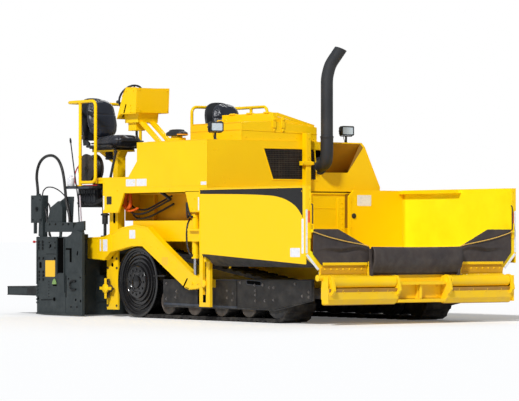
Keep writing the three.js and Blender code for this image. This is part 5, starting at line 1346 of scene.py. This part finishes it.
def end_gate_pieces(side):
    """End gate: guide channels, slots, adjuster plate, blank placard, cap, notched edge, hook and bolts."""
    flip, body = dict(left=side == "right"), f"end_gate_{side}_body"
    skin = Piece(f"end_gate_plates_{side}", SCREED, body, **flip)
    skin.add(prisms("side", ([(-3336, 850), (-3170, 850), (-3120, 800), (-2870, 800), (-2870, 985),
                              (-3336, 1008)], 1600, 1607), (rounded(-3048, -2876, 858, 962, 6), 1607, 1613)))
    skin.add(slabs("side", (-2852, -2838, 540, 1012, 1600, 1622), (-2690, -2676, 300, 1000, 1600, 1612)))
    skin.add(prism("side", [(-2660, 20), (-2250, 20), (-2250, 560), (-2600, 560), (-2660, 520)], 1600, 1605))
    skin.add(slabs("side", (-2256, -2240, 12, 1066, 1600, 1616), (-3350, -2244, 12, 34, 1600, 1614),
                   (-3352, -3338, 400, 1016, 1600, 1610)))
    for k in range(7):
        z = 150 + 42 * k
        skin.add(prism("side", [(-3352, z), (-3318, z + 4), (-3318, z + 20), (-3352, z + 24)], 1600, 1611))
    skin.add(weld([(-2654, 1606, 540), (-2654, 1606, 40)], 4), weld([(-3110, 1606, 796), (-2876, 1606, 796)],
             4))
    skin.done(bevel=2)
    # near-black sheets and discs for the gate's slots, channels and holes: painted shade
    dark = Piece(f"end_gate_openings_{side}", PAINTED_GAP_SHADE, body, **flip)
    dark.add(slab("side", -2836, -2700, 552, 1008, 1600, 1601.2))
    dark.add(prism("side", [(-2652, 872), (-2512, 872), (-2512, 692), (-2556, 692), (-2560, 850), (-2652, 850)],
                   1600, 1601.2))
    dark.add(slab("side", -2645, -2628, 240, 520, 1605, 1606.2))
    dark.add(prisms("side", (rounded(-3290, -3235, 610, 690, 14), 1600, 1601.2),
                    (rounded(-2930, -2895, 720, 752, 6), 1600, 1601.2), (slot_outline((-2376, 807), 60, 24, 70),
             1600, 1601.2)))
    for x, z, r in ((-2920, 212, 26), (-2406, 212, 16), (-2291, 198, 16), (-3320, 214, 20), (-3000, 900, 22)):
        dark.add(lathe([(0, 0), (r, 0), (r, 1.4), (0, 1.4)], (x, 1613 if z == 900 else 1605.2, z), OUT, 20))
    dark.done()
    heads = Piece(f"end_gate_bolts_{side}", EDGE_DARK, body, **flip)
    heads.add(bolts([(x, 1607, z) for x in (-3297, -3197) for z in (953, 912, 870)], OUT, 14))
    heads.add(bolts([(x, 1600, z) for x in (-3296, -3196) for z in (737, 560, 512, 464)], OUT, 14))
    heads.add(bolts(row((-3233, 1600, 197), (-2980, 1600, 205), 9), OUT, 7))
    heads.add(bolts(row((-3060, 1600, 440), (-3060, 1600, 240), 6), OUT, 6))
    heads.add(bolts([(x, 1613, z) for x in (-3030, -2895) for z in (945, 876)], OUT, 8))
    heads.add(bolts([(-2380, 1605, 120), (-2520, 1605, 120), (-2300, 1605, 500), (-2580, 1605, 480)], OUT, 10))
    hook = [(-2400, 1612, 450), (-2470, 1622, 456), (-2520, 1622, 430), (-2524, 1622, 370), (-2470, 1622, 342),
            (-2396, 1612, 346)]
    heads.add(tube(spline(hook, 30), 12, 10))
    heads.done()
    make(f"end_gate_placard_{side}", LABEL_YELLOW, prism("side", rounded(-3140, -2908, 500, 713, 8), 1600,
                                                         1602), body=body, **flip)
    make(f"end_gate_cap_{side}", GREEN, prism("side", [(-2964, 404), (-2866, 404), (-2880, 450), (-2912, 480),
                                                       (-2944, 450)], 1600, 1616), body=body, bevel=4, **flip)
    # near-black strip under the green cap: a painted shadow
    make(f"end_gate_shade_{side}", PAINTED_GAP_SHADE, slab("side", -2956, -2872, 382, 403, 1600, 1604), body=body, **flip)
    pin = Piece(f"end_gate_pin_{side}", RED, body, **flip)
    pin.add(lathe([(0, 0), (7, 1), (7, 70), (16, 72), (16, 96), (0, 98)], (-3352, 1588, 952), BACK, 16))
    pin.done()


def jack_pieces(side):
    """Depth jack and control box on the extension: ribbed case, clamps, slanting plate, cross bar and legs."""
    flip, body = dict(left=side == "right"), f"extension_{side}_body"
    case = Piece(f"jack_case_{side}", SCREED, body, **flip)
    case.add(prism("side", [(-3500, 1215), (-3290, 1215), (-3262, 1260), (-3262, 1500), (-3300, 1548),
                            (-3500, 1548)], 1575, 1585))
    case.add(slab("side", -3480, -3440, 1060, 1215, 1540, 1572))
    case.add(prism("side", [(-3380, 1030), (-3310, 1010), (-3280, 1010), (-3320, 1215), (-3370, 1215)], 1536,
                   1560))
    case.add(tube([(-3420, 1532, 1556), (-3420, 1532, 1582)], 30, 16))
    for z in (1260, 1330, 1400, 1470):
        case.add(block(-3262, -3248, 1500, 1570, z, z + 26))
    case.add(prisms("side", ([(-3175, 1393), (-2805, 1538), (-2638, 1536), (-2638, 1471), (-2900, 1380),
                              (-3128, 1277), (-3175, 1310)], 1480, 1496), ([(-2720, 1205), (-2660, 1205),
             (-2640, 1470), (-2730, 1470)], 1482, 1495), ([(-3040, 1205), (-2980, 1205), (-2990, 1330),
                                                           (-3060, 1300)], 1482, 1495), ([(-2495, 1100),
             (-2495, 1142), (-2437, 1207), (-2262, 1220), (-2262, 1100)], 1548, 1573), ([(-2860, 1010),
             (-2820, 1010), (-2800, 1112), (-2850, 1112)], 1550, 1572)))
    case.add(tube([(-3200, 1520, 1130), (-3140, 1520, 1012)], 13, 10), tube([(-3300, 1510, 1560),
             (-3250, 1510, 1380)], 10, 10))
    case.done(bevel=3)
    iron = Piece(f"jack_fasteners_{side}", EDGE_DARK, body, **flip)
    iron.add(bolts([(-3480, 1585, 1240), (-3480, 1585, 1520), (-3300, 1585, 1240), (-3300, 1585, 1500)], OUT,
                   9))
    iron.add(bolts([(x, 1575, 1180) for x in (-3080, -2940, -2760, -2630)], OUT, 11))
    iron.add(lathe([(0, 0), (30, 0), (30, 10), (18, 14), (18, 22), (0, 24)], (-3380, 1585, 1380), OUT, 24))
    for x in (-3160, -3110, -3060):
        iron.add(lathe([(16, 0), (16, 20), (10, 24), (10, 40), (0, 42)], (x, 1545, 1207), UP, 14))
    iron.done()
    pipes = Piece(f"jack_pipes_{side}", HOSE, body, **flip)
    thin = [(-3316, 1540, 1554), (-3300, 1536, 1610), (-3240, 1530, 1655), (-3140, 1520, 1664),
            (-3020, 1512, 1640), (-2900, 1506, 1590), (-2780, 1500, 1500), (-2700, 1500, 1300),
            (-2690, 1500, 1206)]
    pipes.add(tube(spline(thin, 70), 8, 10))
    low = [(-3290, 1536, 1400), (-3235, 1545, 1380), (-3190, 1552, 1300), (-3170, 1556, 1210),
           (-3130, 1558, 1130), (-3110, 1558, 1030)]
    pipes.add(tube(spline(low, 50), 13, 10))
    inner = [(-3260, 1504, 1470), (-3220, 1500, 1440), (-3190, 1496, 1360), (-3210, 1494, 1250),
             (-3240, 1496, 1206)]
    pipes.add(tube(spline(inner, 40), 11, 10))
    pipes.done()


def screed_pieces():
    """Main screed: deck ribs, end-frame bolts, heater covers, the crown screw, pale tubes and masts."""
    deck = Piece("screed_deck", SCREED, "screed_body")
    for y in (200, 520, 840, 1160):
        deck.add(block(-2940, -2520, y, y + 14, 521, 560), both=True)
    deck.add(block(-2945, -2505, 30, 1400, 521, 529), both=True)
    deck.add(slab("side", -2600, -2491, 985, 999, 1176, 1410), both=True)
    deck.add(tube([(-2730, -600, 600), (-2730, 600, 600)], 26, 20))
    deck.add(prism("side", [(-2800, 529), (-2660, 529), (-2690, 640), (-2770, 640)], 560, 580), both=True)
    for y in (360, 700, 1040):
        deck.add(prisms("front", (rounded(y, y + 200, 180, 420, 12), -2497, -2491),
                        (rounded(y, y + 200, 180, 420, 12), -2957, -2951)), both=True)
    deck.done(bevel=3)
    iron = Piece("screed_bolts", EDGE_DARK, "screed_body")
    for y in (380, 540, 720, 880, 1060, 1220):
        iron.add(bolts([(-2957, y, 200), (-2957, y, 400)], BACK, 9), both=True)
        iron.add(bolts([(-2900, y, 529), (-2560, y, 529)], UP, 12), both=True)
    iron.add(lathe([(26, 0), (40, 4), (40, 30), (26, 34)], (-2730, -17, 600), OUT, 24))
    iron.done()
    for side in ("left", "right"):
        flip = dict(left=side == "right")
        rod = Piece(f"screed_pale_tube_{side}", PALE_TUBE, "screed_body", **flip)
        rod.add(tube([(-2500, 1486, 1560), (-2440, 1486, 1020)], 10, 20))
        rod.done()
        foot = Piece(f"screed_mast_{side}", EDGE_DARK, "screed_body", **flip)
        foot.add(tube([(-2716, 1484, 2230), (-2640, 1484, 1900), (-2540, 1484, 1500), (-2500, 1484, 1050)], 8,
                      10))
        foot.add(lathe([(12, 0), (14, 30), (10, 60), (4, 66), (0, 67)], (-2716, 1484, 2228), (-0.2, 0, 1), 16))
        foot.add(prism("side", [(-2600, 985), (-2420, 985), (-2420, 1050), (-2600, 1060)], 1406, 1494))
        foot.add(lathe([(12, 0), (16, 4), (16, 40), (12, 46)], (-2500, 1488, 1550), UP, 20))
        foot.done(bevel=2)


def extension_pieces(side):
    """Extension: rear ribs, walkway hinges, guide-tube collars, and the walkway's plate and tread bars."""
    flip = dict(left=side == "right")
    body = f"extension_{side}_body"
    ribs = Piece(f"extension_ribs_{side}", SCREED, body, **flip)
    for y in (240, 620, 1000, 1380):
        ribs.add(prism("side", [(-3345, 380), (-3335, 380), (-2975, 500), (-2975, 486), (-3335, 364),
                                (-3345, 364)], y, y + 12))
    for y in (120, 760, 1400):
        ribs.add(tube([(-3354, y, 352), (-3354, y + 70, 352)], 15, 14))
    ribs.add(lathe([(35, 0), (48, 3), (48, 30), (35, 34)], (-3152, 1480, 640), OUT, 28))
    ribs.add(lathe([(35, 0), (48, 3), (48, 30), (35, 34)], (-3152, 200, 640), OUT, 28))
    ribs.done(bevel=2)
    tread = Piece(f"walkway_tread_{side}", EDGE_DARK, f"walkway_{side}_body", **flip)
    tread.add(blocks((-4198, -3400, 1526, 1534, 350, 361.5), (-4198, -3400, 1526, 1534, 246, 258),
                     (-4198, -4184, 62, 1530, 252, 363)))
    tread.add(prism("side", rounded(-3700, -3380, 268, 342, 6), 1530, 1532))
    for x in np.arange(-4170, -3430, 60.0):
        tread.add(block(x, x + 28, 70, 1520, 360.8, 362.4))
    tread.done(bevel=1.5)
    top = Piece(f"walkway_plate_{side}", SCREED, f"walkway_{side}_body", **flip)
    top.add(blocks((-4190, -3400, 64, 1526, 352, 361), (-4190, -4160, 64, 1526, 252, 352)))
    top.done(bevel=2)


REEL_X, REEL_Z = -2690, 1900


def shelf_pieces():
    """Rear shelf: valve banks under it, reel windings and hub, bottle, pale edge strip and pipework."""
    bank = Piece("valve_banks", LAMP)
    for k in range(7):
        x = -2740 + 58 * k
        bank.add(block(x, x + 46, 1332, 1352, 1420, 1620), both=True)
        bank.add(lathe([(15, 0), (15, 12), (9, 14), (9, 24), (0, 26)], (x + 23, 1352, 1460), OUT, 12),
                 both=True)
        bank.add(lathe([(15, 0), (15, 12), (9, 14), (9, 24), (0, 26)], (x + 23, 1352, 1560), OUT, 12),
                 both=True)
    for k in range(5):
        bank.add(block(-2784, -2780, 860 + 90 * k, 920 + 90 * k, 1440, 1600), both=True)
    bank.done(bevel=2)
    pipes = Piece("shelf_pipes", HOSE)
    for k in range(6):
        x = -2717 + 58 * k
        path = [(x, 1366, 1460), (x, 1374, 1458), (x + 20, 1378, 1440), (x + 60, 1374, 1430),
                (x + 120, 1360, 1440), (x + 190, 1330, 1470), (min(x + 280, -2120), 1270, 1520)]
        pipes.add(tube(spline(path, 40), 10 + 2 * (k % 2), 10), both=True)
    pipes.done()
    reel = Piece("reel_windings", HOSE)
    ripple = [(166 + 7 * abs(math.sin(k * math.pi / 8)), 24 + k * 1.9) for k in range(49)]
    reel.add(lathe([(120, 24)] + ripple + [(120, 115)], (REEL_X, -1260, REEL_Z), OUT, 64))
    reel.done(smooth=60)
    hub = Piece("reel_hub", IRON)
    for y, way in ((-1260.5, -1), (-1119.5, 1)):
        hub.add(lathe([(178, 0), (190, 2), (190, 6), (182, 8), (176, 3)], (REEL_X, y, REEL_Z), (0, way, 0), 64))
        hub.add(lathe([(0, 0), (48, 0), (48, 10), (22, 16), (22, 26), (0, 28)],
                      (REEL_X, y, REEL_Z), (0, way, 0),
                      28))
        hub.add(bolts(ring_of((REEL_X, y, REEL_Z), (0, way, 0), 100, 6), (0, way, 0), 9))
        for turn in np.arange(6) * math.pi / 3:
            c, s = math.cos(turn), math.sin(turn)
            spoke = [(REEL_X + along * c - aside * s, REEL_Z + along * s + aside * c)
                     for along, aside in ((48, 8), (178, 8), (178, -8), (48, -8))]
            hub.add(prism("side", spoke, y - 5 if way < 0 else y, y if way < 0 else y + 5))
    hub.done(bevel=1)
    bottle = Piece("shelf_bottle", WHITE_LABEL)
    bottle.add(lathe([(0, 0), (42, 0), (46, 6), (46, 96), (38, 112), (18, 122), (18, 142), (0, 143)],
                     (-2840, -1400, 1670.5), UP, 28))
    bottle.done(smooth=50)
    strip = Piece("shelf_trim", WORN_STEEL)
    strip.add(block(-2896, -2300, 1470, 1472, 1636, 1660), both=True)
    strip.add(bolts(row((-2900, -1300, 1650), (-2900, 1300, 1650), 9), BACK, 9))
    strip.done(bevel=1.5)
    make("shelf_tread", RIBBED, blocks((-2890, -2300, -1460, -1330, 1670, 1673),
                                       (-2890, -2560, 1330, 1460, 1670, 1673)))


for screed_side in ("left", "right"):
    end_gate_pieces(screed_side)
    jack_pieces(screed_side)
    extension_pieces(screed_side)
screed_pieces()
shelf_pieces()


# ---- cords and seats --------------------------------------------------------------------
def cord_pieces():
    """Ropes from wing hooks to the centre hangers, the looped screed hoses, and the reel's air hose."""
    rope = np.array([(2449, 1519.6, 1080), (2449, 1480, 1068), (2449, 1420, 1050), (2449, 1340, 1029),
            (2449, 1260, 1010), (2449, 1180, 993), (2449, 1100, 978), (2449, 1020, 964), (2449, 940, 951),
            (2448, 870, 940), (2447, 800, 929), (2446, 750, 920), (2445, 715, 911), (2445, 695, 904)])
    loop = np.array([(-3440, 1530, 1561), (-3442, 1530, 1620), (-3455, 1530, 1700), (-3470, 1530, 1800),
            (-3450, 1530, 1900), (-3390, 1530, 1990), (-3290, 1530, 2050), (-3170, 1530, 2075),
            (-3050, 1530, 2065), (-2940, 1530, 2010), (-2860, 1530, 1910), (-2810, 1530, 1780),
            (-2780, 1530, 1640), (-2752, 1530, 1490), (-2712, 1532, 1380), (-2672, 1535, 1300),
            (-2660, 1535, 1250), (-2660, 1535, 1207)])
    air = [(-2876, -1190, 1935), (-2905, -1192, 1955), (-2945, -1200, 1950), (-2985, -1210, 1915),
           (-3005, -1225, 1860), (-3000, -1240, 1800), (-2975, -1255, 1745), (-2930, -1270, 1705),
           (-2870, -1285, 1685), (-2780, -1300, 1680), (-2680, -1310, 1678.8), (-2560, -1315, 1678.7),
           (-2440, -1315, 1678.7), (-2340, -1312, 1678.7), (-2290.6, -1310, 1678.7)]
    lines = [("air_hose", "tractor", air, 8, HOSE_RED, "medium", "loose")]
    for side, sign in (("right", -1), ("left", 1)):
        lines[:0] = [(f"screed_hose_{side}", f"extension_{side}_body", loop * [1, sign, 1], 19, HOSE, "stiff",
                      "loose")]
    for side, sign in (("right", -1), ("left", 1)):
        lines[:0] = [(f"hopper_rope_{side}", f"hopper_wing_{side}_body", rope * [1, sign, 1], 6, ROPE, "limp",
                      "hanging")]
    for node, body, route, radius, material, stiffness, lay in lines:
        path = spline(route, 140)
        line = Piece(f"{node}_line", material, body)
        at = np.linspace(0, 1, len(path))
        swell = radius * (1 + (0.10 * np.cos(120 * np.pi * at) if material is ROPE else 0.0 * at))
        line.add(tube(path, swell, 16))
        thing = line.done(smooth=60)
        tuple(placed(path[0]).tolist())
        placed(path[::4]).tolist() + [placed(path[-1]).tolist()]
        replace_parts(thing, node)


def pillow(middle, half, tilt, power=0.42):
    """Closed pillow: a superellipsoid, each coordinate a signed power of the cosines and sines of two angles,
    tilted about the cross axis."""
    u, v = np.meshgrid(np.linspace(-1.5, 1.5, 25), np.linspace(-np.pi, np.pi, 48, endpoint=False),
                       indexing="ij")

    def bent_power(value):
        return np.sign(value) * np.abs(value) ** power

    x = half[0] * bent_power(np.cos(u)) * bent_power(np.cos(v))
    y = half[1] * bent_power(np.cos(u)) * bent_power(np.sin(v))
    z = half[2] * bent_power(np.sin(u))
    c, s = math.cos(tilt), math.sin(tilt)
    return loft(np.stack([middle[0] + c * x - s * z, middle[1] + y, middle[2] + s * x + c * z], -1))


def stuffed(name, surface, most=0.026, voxel=0.013):
    """A pad blown up by pressure from a slightly smaller shape: the cloth solver moves each point out, and no
    point goes further than `most` metres. The result is kept as a plain mesh."""
    start = bpy.data.meshes.new(name + "_start")
    start.from_pydata(placed(surface[0]).tolist(), [], surface[1])
    shell = bpy.data.objects.new(name + "_start", start)
    bpy.context.scene.collection.objects.link(shell)
    fine = shell.modifiers.new("fine", "REMESH")
    fine.mode, fine.voxel_size = "VOXEL", voxel
    view = bpy.context.evaluated_depsgraph_get()
    mesh = bpy.data.meshes.new_from_object(shell.evaluated_get(view))
    bpy.data.objects.remove(shell)
    mesh.name = name
    thing = bpy.data.objects.new(name, mesh)
    bpy.context.scene.collection.objects.link(thing)
    cloth = thing.modifiers.new("cloth", "CLOTH")
    cloth.settings.use_pressure = True
    cloth.settings.uniform_pressure_force = 4.0
    cloth.settings.quality = 5
    cloth.settings.effector_weights.gravity = 0.0
    cloth.point_cache.frame_start, cloth.point_cache.frame_end = 1, 20
    for at in range(1, 21):
        bpy.context.scene.frame_set(at)
    blown = bpy.data.meshes.new_from_object(thing.evaluated_get(bpy.context.evaluated_depsgraph_get()))
    before = np.empty(len(mesh.vertices) * 3)
    after = np.empty(len(mesh.vertices) * 3)
    mesh.vertices.foreach_get("co", before)
    blown.vertices.foreach_get("co", after)
    before, move = before.reshape(-1, 3), (after - before).reshape(-1, 3)
    gone = np.linalg.norm(move, axis=1, keepdims=True)
    move *= np.minimum(1.0, most / np.maximum(gone, 1e-9))
    thing.modifiers.clear()
    bpy.context.scene.frame_set(1)
    return thing, before + move


def seam_channels(points, across, along, depth):
    """Pulls the cover inward along stitched lines: a narrow dip across each place in `across` and `along`."""
    dip = np.zeros(len(points))
    for axis, place, width in across + along:
        dip += np.exp(-((points[:, axis] - place) / width) ** 2)
    return points - depth * np.minimum(dip, 1.0)[:, None] * unit_rows(points - points.mean(0))


def unit_rows(ways):
    return ways / np.maximum(np.linalg.norm(ways, axis=1, keepdims=True), 1e-9)


def seat_pads(side, middle):
    """One operator's seat: cushion and back blown up as pads, then stitched; shell, arms and hardware."""
    shapes = (("cushion", pillow((-2236, middle, 2234), (318, 244, 56), 0.05, 0.55), [(0,
              (-2090 + DATUM_X) / 1000, 0.006)], [(1, (middle - 150) / 1000, 0.006), (1, (middle + 150) / 1000,
              0.006)]), ("back", pillow((-2606, middle, 2545), (62, 244, 286), 0.24, 0.76), [(2, 2.43, 0.006),
              (2, 2.6, 0.006)], [(1, (middle - 150) / 1000, 0.006), (1, (middle + 150) / 1000, 0.006)]))
    first = None
    for part, surface, across, along in shapes:
        thing, points = stuffed(f"seat_{part}_{side}", surface)
        points = seam_channels(points, across, along, 0.009)
        thing.data.vertices.foreach_set("co", points.ravel())
        thing.data.polygons.foreach_set("use_smooth", np.ones(len(thing.data.polygons), bool))
        thing.data.update()
        thing.data.materials.clear()
        thing.data.materials.append(VINYL)
        more = thing.modifiers.new("soften", "SUBSURF")
        more.levels = more.render_levels = 1
        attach(thing, "tractor")
        first = first or thing
    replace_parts(first, f"seat_{side}")
    shell = Piece(f"seat_shell_{side}", LAMP)
    crown = np.linspace(0, np.pi, 25)
    arch_y = np.concatenate([[-236], 246 * -np.cos(crown) * np.abs(np.cos(crown)) ** -0.25, [236]])
    arch_z = np.concatenate([[2262], 2560 + 262 * np.sin(crown) ** 0.75, [2262]])
    lean = -2664 - 0.24 * (arch_z - 2262)
    shell.add(loft([np.column_stack([lean + shift, middle + arch_y * s, 2262 + (arch_z - 2262) * s])[::-1]
                    for shift, s in ((8, 0.97), (0, 1.0), (-26, 1.0), (-40, 0.95))]))
    shell.add(prisms("side", ([(-2600, 2166), (-2080, 2166), (-2060, 2182), (-2060, 2196), (-2600, 2196)],
                              middle - 236, middle + 236), ([(-2690, 2196), (-2560, 2196), (-2560, 2226),
                                                             (-2676, 2300), (-2706, 2300)], middle - 232,
                                                            middle - 200), ([(-2690, 2196), (-2560, 2196),
              (-2560, 2226), (-2676, 2300), (-2706, 2300)], middle + 200, middle + 232)))
    for y in (middle - 246, middle + 246) if side == "left" else ():
        arm = [(-2650, y, 2440), (-2560, y, 2446), (-2420, y, 2440), (-2290, y, 2436)]
        shell.add(tube(spline(arm, 24), 25 + 5 * np.sin(np.linspace(0, np.pi, 24)), 16))
        shell.add(lathe([(30, 0), (34, 4), (34, 22), (26, 28), (0, 30)], (-2668, y, 2440),
                        (0, 1 if y > middle else -1, 0), 20))
        shell.add(tube([(-2640, y, 2430), (-2610, y, 2230)], 11, 10))
    shell.done(bevel=3)
    iron = Piece(f"seat_hardware_{side}", IRON)
    for y, way in ((middle - 236, -1), (middle + 236, 1)):
        iron.add(lathe([(0, 0), (34, 0), (34, 8), (20, 12), (0, 13)], (-2668, y, 2300), (0, way, 0), 24))
        iron.add(bolts([(-2600, y, 2182), (-2300, y, 2182), (-2100, y, 2182)], (0, way, 0), 8))
        iron.add(tube([(-2120, y + way * 6, 2180), (-2020, y + way * 14, 2170)], 8, 10))
        iron.add(lathe([(8, 0), (14, 6), (14, 30), (0, 34)], (-2020, y + way * 14, 2170), (1, 0.1 * way, -0.1),
                       14))
    iron.add(tube(bent([(-2784, middle - 120, 2400), (-2800, middle - 120, 2560), (-2800, middle + 120, 2560),
                        (-2784, middle + 120, 2400)], 40), 8, 10))
    iron.done()
    piping = Piece(f"seat_piping_{side}", VINYL)
    ring = np.array([(-2240 + a, middle + b, 2230 + 0.05 * a) for a, b in rounded(-300, 300, -246, 246, 90, 9)])
    piping.add(tube(ring, 6, 10, closed=True, over=(0, 0, 1)))
    piping.done()


cord_pieces()
seat_pads("left", 920)
seat_pads("right", -1080)


CAD_FINISH = [
    ("track_belt", TRACK), ("drive_wheel", GLOSS_BLACK), ("track_frame", CHARCOAL), ("side_flap", FLAP),
    ("centre_flap", FLAP), ("grille", CHARCOAL), ("exhaust", STACK), ("rear_shelf", CHARCOAL), ("seat", VINYL),
    ("steering", VINYL), ("hose_reel", IRON), ("work_lamp", LAMP), ("tow_rod", ROD),
    ("lift_cylinder", CHARCOAL),
    # the hopper wings take the enamel with the painted highlight on their inner walls
    ("wing_cylinder", ROD), ("hopper_wing", PAINTED_LIT_WALL_YELLOW), ("auger_frame", YELLOW), ("auger", IRON),
    ("main_screed", SCREED),
    ("screed_extension", SCREED), ("end_gate", SCREED), ("walkway", SCREED), ("engine_block", IRON),
    ("hopper_rope", ROPE), ("screed_hose", HOSE), ("air_hose", HOSE_RED),
]


def dress_cad(node, material, edge=0.004):
    """A CAD piece that shows keeps its shape; its edges get a small round and its slots the finish."""
    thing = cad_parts[node]
    thing.data.materials.clear()
    thing.data.materials.append(material)
    weld = thing.modifiers.new("weld", "WELD")
    weld.merge_threshold = 0.0002
    flat = thing.modifiers.new("flat", "DECIMATE")
    flat.decimate_type = "DISSOLVE"
    flat.angle_limit = math.radians(0.6)
    if edge:
        bevel = thing.modifiers.new("edge", "BEVEL")
        bevel.width = edge
        bevel.segments = 2
        bevel.limit_method = "ANGLE"
        bevel.angle_limit = math.radians(34)
        bevel.harden_normals = False


for cad_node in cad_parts:
    chosen = next((m for start, m in CAD_FINISH if cad_node.startswith(start)), YELLOW)
    dress_cad(cad_node, chosen)
